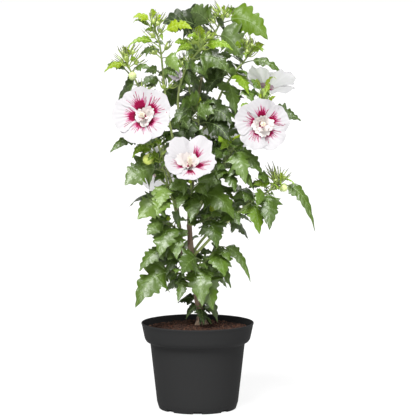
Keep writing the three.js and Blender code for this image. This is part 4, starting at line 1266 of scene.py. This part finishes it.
def add_ruff(heap, bloom, at, draw, petaloids=12):
    size = bloom["radius"] * bloom["ruff"]
    slope = 1.15 * bloom["cup"] / bloom["radius"]
    for k in range(petaloids):
        ring = k / petaloids
        angle = math.radians(k * GOLDEN_TURN + 30 * draw())
        reach = size * mix(0.37, 0.22, ring) * mix(0.65, 1.15, draw())
        away = 1 - math.cos(angle - math.radians(bloom["ruff_side"]))
        reach = reach * (1 - 0.5 * bloom["ruff_lean"] * away)
        lean = mix(12, 58, ring) + 12 * (draw() - 0.5)
        add_petaloid(heap, at, angle, reach, lean, mix(0.42, 0.7, draw()), draw, ruff_tint(draw), slope)


# Heights of the column's foot and top over the throat, and how many anthers and stigmas it has.
COLUMN = {"foot": 1, "top": 25.5, "anthers": 44, "stigmas": 5}
ANTHER = np.array((0.35, 0.95, 1.0, 0.4)) * 0.82
ANTHER_TURN = 2.39996


def add_column(heap, bloom, at, draw):
    up = np.linspace(0, 1, 12)
    lean = bloom["radius"] * 0.02 * draw()
    angle = draw() * PHASE
    spine = at(lean * 2 * up ** 2, angle, mix(COLUMN["foot"], COLUMN["top"], up))
    rod(heap, spine, mix(2.5, 1.5, up), sides=10)
    for k in range(COLUMN["anthers"]):
        t = mix(0.36, 0.97, (k + draw()) / COLUMN["anthers"])
        height = mix(COLUMN["foot"], COLUMN["top"], t)
        root = at(lean * 2 * t ** 2, angle, height)
        reach = mix(3.1, 4.8, draw()) * mix(1, 0.8, t)
        tip = at(reach, k * ANTHER_TURN, height + mix(0.4, 2.2, draw()))
        rod(heap, [root, (root + tip) / 2, tip], (0.22, 0.2, 0.18), sides=4)
        run = unit(tip - root) * 0.8
        rod(heap, [tip - run, tip - run * 0.3, tip + run * 0.4, tip + run], ANTHER, look=1)
    for k in range(COLUMN["stigmas"]):
        turn = k * 2 * math.pi / COLUMN["stigmas"] + 0.5
        bend = [at(0, 0, COLUMN["top"]), at(1.0, turn, 27.5), at(2.4, turn, 29.2)]
        rod(heap, bend, (0.4, 0.38, 0.36), sides=5)
        knob = [at(2.2, turn, 28.8), at(2.6, turn, 29.3), at(3.0, turn, 29.9), at(3.2, turn, 30.3)]
        rod(heap, knob, (0.45, 0.95, 0.85, 0.3))


def add_calyx(heap, at, draw, bracts=8):
    rows, sides = 13, 40
    t = np.linspace(0, 1, rows)[:, None]
    theta = round_turn(sides)[None]
    radius = np.interp(t, (0, 0.3, 0.62, 1), (1.9, 6.0, 7.7, 8.6)) * (1 + 0.035 * np.cos(5 * theta + 1))
    lobes = np.abs(np.sin(2.5 * theta + 0.3)) ** 0.7
    height = mix(CALYX_FOOT, 1.2, t) - (1 - lobes) * 7.5 * t ** 2.2
    points = at(radius + 0.5 * np.sin(theta * 20) * t * 0.25, theta, height)
    heap.add(points, grid(rows, sides, wrap=True)[:, ::-1], 0)
    for k in range(bracts):
        turn = k * 2 * math.pi / bracts + 0.3 * draw()
        line = [at(1.6, turn, -18.5), at(6.5, turn, -14.5), at(10.0, turn, -8.5)]
        line.append(at(11.5 + 2 * draw(), turn, -1.5))
        bent_rod(heap, line, (0.75, 0.85, 0.85, 0.75, 0.6, 0.4, 0.15), sides=5, look=1)


petals, ruffs, columns, calyxes = Heap(), Heap(), Heap(), Heap()
for number, bloom in enumerate(BLOOMS):
    _, at = bloom_frame(bloom)
    draw = seeded(SEEDS["bloom"] + number)
    waves = (mix(0.8, 1.8, draw()), mix(0.6, 1.8, draw()), draw() * PHASE, draw() * PHASE)
    for k in range(5):
        add_petal(petals, bloom, at, k, draw, waves)
    add_ruff(ruffs, bloom, at, draw)
    add_column(columns, bloom, at, draw)
    add_calyx(calyxes, at, draw)

petal_looks = [shade(*row, bump=0.12, scale=420) for row in PETAL_LOOKS]
cream = shade("column_cream", (0.88, 0.79, 0.62), 0.6, bump=0.2)
pollen = shade("anther_pale", (0.92, 0.86, 0.70), 0.75, bump=0.4)
calyx_look = shade("calyx", (0.36, 0.50, 0.11), 0.55, bump=0.2, scale=500)
bract_look = shade("bract", (0.40, 0.53, 0.12), 0.55, bump=0.2, scale=500)
make("petals", petals, petal_looks, bloom_nodes)
make("ruffs", ruffs, petal_looks, bloom_nodes)
make("columns", columns, [cream, pollen], bloom_nodes)
make("calyxes", calyxes, [calyx_look, bract_look], bloom_nodes)


# Buds: a pale ribbed body in a ring of needle bracts, on a stalk

STALK, GREEN, PALE, DARK, ROUND_PAINTED_LIGHT, GREY, SPENT_PAINTED_LIGHT = range(7)
GREEN_BRACT = (STALK, GREEN, GREEN, GREEN, GREEN, GREEN, DARK)
GREY_BRACT = (STALK, GREEN, GREEN, GREY, GREY, DARK, DARK)
BUD_SPAN = 24


def add_bud(heap, bud, draw, bracts=6):
    root, run, span = bud["root"], bud["run"], bud["span"]
    across, other = sides_of(run)
    scale = span / BUD_SPAN
    line = root + run * (span * np.linspace(0, 0.55, 5))[:, None]
    rod(heap, line, np.linspace(0.8, 1.1, 5))
    rows, sides = 12, 20
    t = np.linspace(0, 1, rows)[:, None]
    girth = np.sin(np.clip(t * 0.9 + 0.08, 0, 1) * math.pi) ** 0.75 * 3.6 * scale
    girth = girth * (1 + 0.07 * np.cos(5 * round_turn(sides)[None])) + 0.15
    looks = np.where(np.arange(rows - 1) > rows * 0.62, PALE, GREEN)
    turned(heap, root, run, span * mix(0.5, 0.88, t), girth, np.repeat(looks, sides))
    for k in range(bracts):
        turn = k * 2 * math.pi / bracts + 0.5 * draw()
        side = across * math.cos(turn) + other * math.sin(turn)
        reach = mix(1.15, 1.6, draw())
        bow = mix(4.2, 8.8, draw()) * scale
        places = [(0, 0.46), (0.55, 0.6), (0.92, 0.84), (1.1, reach)]
        line = [root + run * span * along + side * bow * out for out, along in places]
        looks = np.repeat(GREEN_BRACT if k % 3 else GREY_BRACT, 6)
        bent_rod(heap, line, (0.6, 0.75, 0.85, 0.85, 0.85, 0.8, 0.7, 0.3), look=looks)


def spent_tint(u, v):
    return np.full(u.size, SPENT_PAINTED_LIGHT)


def add_spent(heap, globe, draw):
    """The faded bloom at the upper left, a handful of crumpled petaloids, its pale lilac made paler still as
    painted light.
    """
    run, r = globe["run"], globe["radius"]
    _, at = frame_at(globe["root"] + run * (globe["span"] - 2 * r), run)
    for k in range(9):
        reach, lean = r * mix(1.3, 2.3, draw()), mix(50, 84, draw())
        add_petaloid(heap, at, 0.7 * k + draw(), reach, lean, mix(0.3, 0.5, draw()), draw, spent_tint)


def add_globe(heap, globe, draw, bracts=7):
    """A round green bud with its bracts. A big one is yellow green, made paler as painted light against the
    shade over it.
    """
    root, run, span, r = globe["root"], globe["run"], globe["span"], globe["radius"]
    across, other = sides_of(run)
    rows, sides = 22, 40
    t = np.linspace(0, 1, rows)[:, None]
    theta = round_turn(sides)[None]
    girth = r * np.sin(np.clip(0.06 + 0.94 * t, 0, 0.999) * math.pi) ** 0.62
    girth = girth * (1 - 0.09 * np.abs(np.sin(2.5 * theta + 1.6 * t)) ** 0.6) + 0.1
    turned(heap, root, run, span - 2 * r * (1 - t), girth, ROUND_PAINTED_LIGHT if r > 8 else PALE)
    for k in range(bracts):
        turn = k * 2 * math.pi / bracts + draw()
        side = across * math.cos(turn) + other * math.sin(turn)
        foot = root + run * (span - 2 * r)
        places = [(0, 0), (0.8, 0.1), (1.12, 0.75), (mix(1.05, 1.25, draw()), mix(1.1, 1.5, draw()))]
        line = [foot + side * r * out + run * r * along for out, along in places]
        bent_rod(heap, line, (0.5, 0.8, 0.8, 0.7, 0.6, 0.45, 0.3, 0.1), sides=5, look=GREEN)


# Fans of buds as they stand against the sky: limb, place, buds, lean of the fan, its spread, span.
FANS = [
    ("foliage_left_tip", 0.75, 3, 106, 84, 25),
    ("foliage_left_tip", 1.0, 2, 92, 44, 22),
    ("foliage_left_tip", 0.2, 2, 60, 60, 22),
    ("foliage_top_left", 0.5, 2, 96, 84, 24),
    ("foliage_top_left", 0.9, 2, 80, 40, 24),
    ("foliage_top_left", 0.05, 2, 70, 60, 22),
    ("foliage_top_centre", 0.22, 2, 114, 34, 27),
    ("foliage_top_centre", 0.8, 3, 98, 80, 24),
    ("foliage_top_right", 0.8, 3, 84, 70, 24),
    ("foliage_top", 0.95, 2, 104, 60, 20),
    ("foliage_right_branch", 1.0, 3, 92, 80, 24),
]
for name, t, many, lean, spread, span in FANS:
    for k in range(many):
        tilt = math.radians(lean + spread * (k / (many - 1) - 0.5))
        run = unit(np.array((math.cos(tilt), -0.25 if k % 2 else 0.12, math.sin(tilt))))
        root = limbs[name]["path"].at(max(0.0, t - 0.05 * (k % 2)))
        buds.append({"root": root, "run": run, "span": span * (1 if k % 2 else 0.88)})

bud_heap = Heap()
for number, bud in enumerate(buds):
    add_bud(bud_heap, bud, seeded(SEEDS["bud"] + number))
for number, globe in enumerate(globes):
    stalk_end = globe["span"] - 1.8 * globe["radius"]
    rod(bud_heap, globe["root"] + globe["run"] * np.linspace(0, stalk_end, 5)[:, None], 1.1)
    add_round = add_spent if globe["spent"] else add_globe
    add_round(bud_heap, globe, seeded(SEEDS["globe"] + number))
bud_looks = [
    shade("bud_stalk", (0.32, 0.43, 0.08), 0.55, bump=0.2),
    shade("bud_green", (0.42, 0.54, 0.12), 0.55, bump=0.2),
    shade("bud_pale", (0.60, 0.69, 0.30), 0.6, bump=0.2),
    shade("bract_tip", (0.16, 0.18, 0.075), 0.6, bump=0.2),
    # Big round buds: their yellow green made paler as painted light, against the shade of the bloom and
    # leaves over them.
    shade("bud_globe_painted_light", (0.62, 0.70, 0.16), 0.5, bump=0.25),
    shade("bract_grey", (0.19, 0.25, 0.11), 0.6, bump=0.2),
    # The spent bloom's pale lilac is made paler still as painted light, against the shadow that it sits in.
    shade("bud_spent_painted_light", (0.88, 0.82, 0.89), 0.6, bump=0.3),
]
make("buds", bud_heap, bud_looks, foliage_nodes)


# Pot: turned outline with a rolled lip, a band, the shadow line under it and notches at the foot

NOTCHES = 8
NOTCH = {"half": math.radians(7.1), "chamfer": math.radians(0.9), "height": 4.5, "inner": 58}
# Radius and height of the foot's rounded edge, which the notches cut, and of the wall over it,
# up to the lip, over it and down the inside.
POT_FOOT = [(63.4, 0), (64.2, 0.15), (64.9, 0.7), (65.5, 1.8), (66.0, 3.2), (66.5, 4.6)]
POT_WALL = [
    (67.4, 7.6), (68.3, 10.6), (68.8, 12.6), (71.2, 33.6), (74.0, 58.2), (76.9, 84.0), (79.2, 104.8),
    (79.8, 109.6), (80.0, 111.2), (80.4, 112.1), (82.2, 113.0), (84.2, 113.7), (85.6, 114.4), (86.6, 115.3),
    (87.6, 116.8), (88.6, 118.5), (89.3, 119.9), (90.2, 124.0), (91.6, 130.6), (93.0, 137.2), (94.0, 142.3),
    (94.5, 143.4), (94.9, 144.4), (95.0, 145.4), (94.8, 146.2), (94.4, 146.6), (93.9, 146.7), (93.4, 146.6),
    (93.1, 146.1), (92.7, 144.2), (92.3, 142.0), (91.6, 138.4), (89.9, 129.7), (87.9, 121.4), (80.9, 118.6),
]


def pot_angles(fine=24):
    """Angles round the pot, with one at each edge of a notch."""
    step = 2 * math.pi / NOTCHES
    angles = set()
    for k in range(NOTCHES):
        middle = 2 * math.pi * k / NOTCHES - math.pi / 2
        for edge in (-1, 1):
            angles.add(middle + edge * NOTCH["half"])
            angles.add(middle + edge * (NOTCH["half"] - NOTCH["chamfer"]))
        for j in range(fine):
            angles.add(middle - math.pi / NOTCHES + step * j / fine)
    return np.array(sorted(a % (2 * math.pi) for a in angles))


def notch_height(angles):
    step = 2 * math.pi / NOTCHES
    off = np.abs((angles + math.pi / 2 + step / 2) % step - step / 2)
    return NOTCH["height"] * np.clip((NOTCH["half"] - off) / NOTCH["chamfer"], 0, 1)


def turned_pot(heap):
    angles = pot_angles()
    lift = notch_height(angles)
    inner = NOTCH["inner"]
    outline = [(3, 0), (inner - 0.2, 0), (inner, 0), (inner, lift * 0.96), (inner + 0.3, lift)]
    outline += [(radius, np.maximum(lift, height)) for radius, height in POT_FOOT]
    outline += POT_WALL
    rings = []
    for radius, height in outline:
        z = np.broadcast_to(height, angles.shape)
        rings.append(np.stack([radius * np.cos(angles), radius * np.sin(angles), z], axis=-1))
    m = len(angles)
    heap.add(np.vstack(rings), grid(len(outline), m, wrap=True))
    heap.add(np.vstack([rings[0], np.zeros((1, 3))]), cap(0, m, m, flip=True))


pot = Heap()
turned_pot(pot)
plastic = shade("pot_plastic", (0.025, 0.0252, 0.0255), 0.6, 0.02, bump=0.14, scale=1500, spread=0.06)
pot_piece = make("pot_shell", pot, [plastic], ["pot"])
sharp = pot_piece.modifiers.new("edges", "EDGE_SPLIT")
sharp.split_angle = math.radians(33)
sharp.use_edge_sharp = False


# Compost: a rough mound with crumbs and chips of bark on it

MOUND_EDGE = 91.2
MOUND_SIDES = 200
# Crumbs keep clear of the stem's foot.
STEM = {"x": 6, "clear": 13}
CRUMBS = {"count": 2600, "reach": 90}
DARK_CRUMB, RED_CRUMB, FIBRE = 1, 2, 3


def ground_at(radius):
    return np.interp(radius, (0, 24, 48, 80, 91), (GROUND, GROUND, GROUND - 2.6, GROUND - 5.2, GROUND - 7.4))


def rough_height(x, y):
    """Waves in all directions: their size, their height and how many of them."""
    draw = seeded(SEEDS["mound"])
    total = np.zeros_like(x)
    for size, high, many in ((26, 0.9, 5), (11, 0.8, 9), (5, 0.7, 12), (2.6, 0.4, 12)):
        for _ in range(many):
            turn, shift = draw() * PHASE, draw() * PHASE
            wave = 2 * math.pi / (size * mix(0.8, 1.25, draw()))
            out = x * math.cos(turn) + y * math.sin(turn)
            total = total + high * np.sin(out * wave + shift) / math.sqrt(many)
    return total


def add_mound(heap):
    rings = np.concatenate([[0.01], np.linspace(1.5, MOUND_EDGE, 68)])
    theta = round_turn(MOUND_SIDES)
    radius, angle = np.meshgrid(rings, theta, indexing="ij")
    x, y = radius * np.cos(angle), radius * np.sin(angle)
    rough = rough_height(x, y) * np.clip(radius / 14, 0.15, 1) * np.clip((92 - radius) / 3, 0.3, 1)
    top = ground_at(radius) + rough
    heap.add(np.stack([x, y, top], axis=-1), grid(len(rings), MOUND_SIDES, wrap=True)[:, ::-1])
    skirt = []
    for r, z in ((MOUND_EDGE, top[-1]), (88.0, 124), (78, 112), (66.9, 13), (64, 4), (2, 4)):
        skirt.append(np.stack([r * np.cos(theta), r * np.sin(theta), np.broadcast_to(z, theta.shape)], -1))
    heap.add(skirt, grid(len(skirt), MOUND_SIDES, wrap=True)[:, ::-1])


CHIP = np.array([(1, 0, 0), (-1, 0, 0), (0, 1, 0), (0, -1, 0), (0, 0, 1), (0, 0, -1)], float)
CHIP_FACES = np.array([
    (0, 2, 4), (2, 1, 4), (1, 3, 4), (3, 0, 4), (2, 0, 5), (1, 2, 5), (3, 1, 5), (0, 3, 5)])


def add_crumb(heap, draw):
    r, turn = CRUMBS["reach"] * math.sqrt(draw()), draw() * 2 * math.pi
    x, y = r * math.cos(turn), r * math.sin(turn)
    if math.hypot(x - STEM["x"], y) < STEM["clear"]:
        return
    size = mix(0.7, 2.1, draw() ** 2.2)
    uneven = np.array([draw() for _ in range(18)]).reshape(6, 3) - 0.5
    shape = CHIP * (np.array((1, 1, 1)) + 0.5 * uneven)
    stretch = np.array((mix(0.8, 2.0, draw()), mix(0.6, 1.0, draw()), mix(0.35, 0.8, draw()))) * size
    spin, tip = draw() * PHASE, (draw() - 0.5) * 1.3
    tipped = ((math.cos(tip), 0, math.sin(tip)), (0, 1, 0), (-math.sin(tip), 0, math.cos(tip)))
    spun = ((math.cos(spin), math.sin(spin), 0), (-math.sin(spin), math.cos(spin), 0), (0, 0, 1))
    shape = shape * stretch @ np.array(tipped) @ np.array(spun)
    height = ground_at(r) + float(rough_height(np.array(x), np.array(y))) + 0.1 * size
    look = DARK_CRUMB if draw() < 0.45 else (RED_CRUMB if draw() < 0.85 else FIBRE)
    heap.add(shape + np.array((x, y, height)), CHIP_FACES, look)


compost = Heap()
add_mound(compost)
draw = seeded(SEEDS["crumbs"])
for _ in range(CRUMBS["count"]):
    add_crumb(compost, draw)
peat = mottle(shade("peat", (0.05, 0.03, 0.022), 0.95, 0.2, bump=0.9, scale=900),
              [(0.012, 0.006, 0.005), (0.040, 0.021, 0.015), (0.080, 0.038, 0.024)], 420, 6)
compost_looks = [
    peat,
    shade("crumb_dark", (0.018, 0.010, 0.008), 0.95, 0.2, bump=0.8, scale=1200),
    shade("crumb_red", (0.080, 0.034, 0.021), 0.95, 0.2, bump=0.8, scale=1200),
    shade("crumb_fibre", (0.13, 0.070, 0.044), 0.95, 0.2, bump=0.8, scale=1200),
]
make("compost_top", compost, compost_looks, ["soil"], smooth=False)


# Studio: pale floor, white horizon under a dimmer sky, soft lights and the photograph's camera

def sun(name, heading, height, strength, angle):
    data = bpy.data.lights.new(name, "SUN")
    data.energy = strength
    data.angle = math.radians(angle)
    add_object(name, data).rotation_euler = (math.radians(90 - height), 0, math.radians(heading))


floor_mesh = bpy.data.meshes.new("floor")
floor_mesh.from_pydata([(-14, -9, 0), (14, -9, 0), (14, 30, 0), (-14, 30, 0)], [], [(0, 1, 2, 3)])
floor_piece = add_object("floor", floor_mesh)
floor_look = shade("floor_white", (0.16, 0.16, 0.16), 0.95, 0.0)
floor_surface = floor_look.node_tree.nodes["Principled BSDF"]
set_inputs(floor_surface, Emission_Color=(1, 1, 1, 1), Emission_Strength=0.86)
floor_mesh.materials.append(floor_look)

world = bpy.data.worlds.new("surround")
bpy.context.scene.world = world
world.use_nodes = True
sky = world.node_tree
background = sky.nodes["Background"]
place = sky.nodes.new("ShaderNodeTexCoord")
split = sky.nodes.new("ShaderNodeSeparateXYZ")
fade = sky.nodes.new("ShaderNodeMapRange")
set_inputs(fade, From_Min=0.09, From_Max=0.3, To_Min=1.02, To_Max=0.08)
set_inputs(background, Color=(1, 1, 1, 1))
wire(sky, place, "Generated", split, "Vector")
wire(sky, split, "Z", fade, "Value")
wire(sky, fade, "Result", background, "Strength")

# Lights: heading and height in degrees, strength, and width in degrees.
SUNS = {
    "key": (-16, 57, 4.5, 25),
    "front": (-10, 22, 0.5, 30),
    "side": (40, 24, 0.4, 28),
    "crown": (160, 62, 1.2, 16),
}
for name, values in SUNS.items():
    sun(name, *values)

# The camera's tilt, its distance and the point that it looks at, in metres.
TILT = math.radians(5.721)
DISTANCE = 4.0
AIM_X, AIM_HEIGHT = 0.01679, 0.34097
camera_data = bpy.data.cameras.new("camera")
camera_data.lens = 206.39
camera_data.sensor_width = 36
camera_data.clip_end = 100
camera = add_object("camera", camera_data)
camera.location = (AIM_X, -DISTANCE * math.cos(TILT), AIM_HEIGHT + DISTANCE * math.sin(TILT))
camera.rotation_euler = (math.pi / 2 - TILT, 0, 0)
bpy.context.scene.camera = camera
bpy.context.scene.view_settings.view_transform = "Standard"
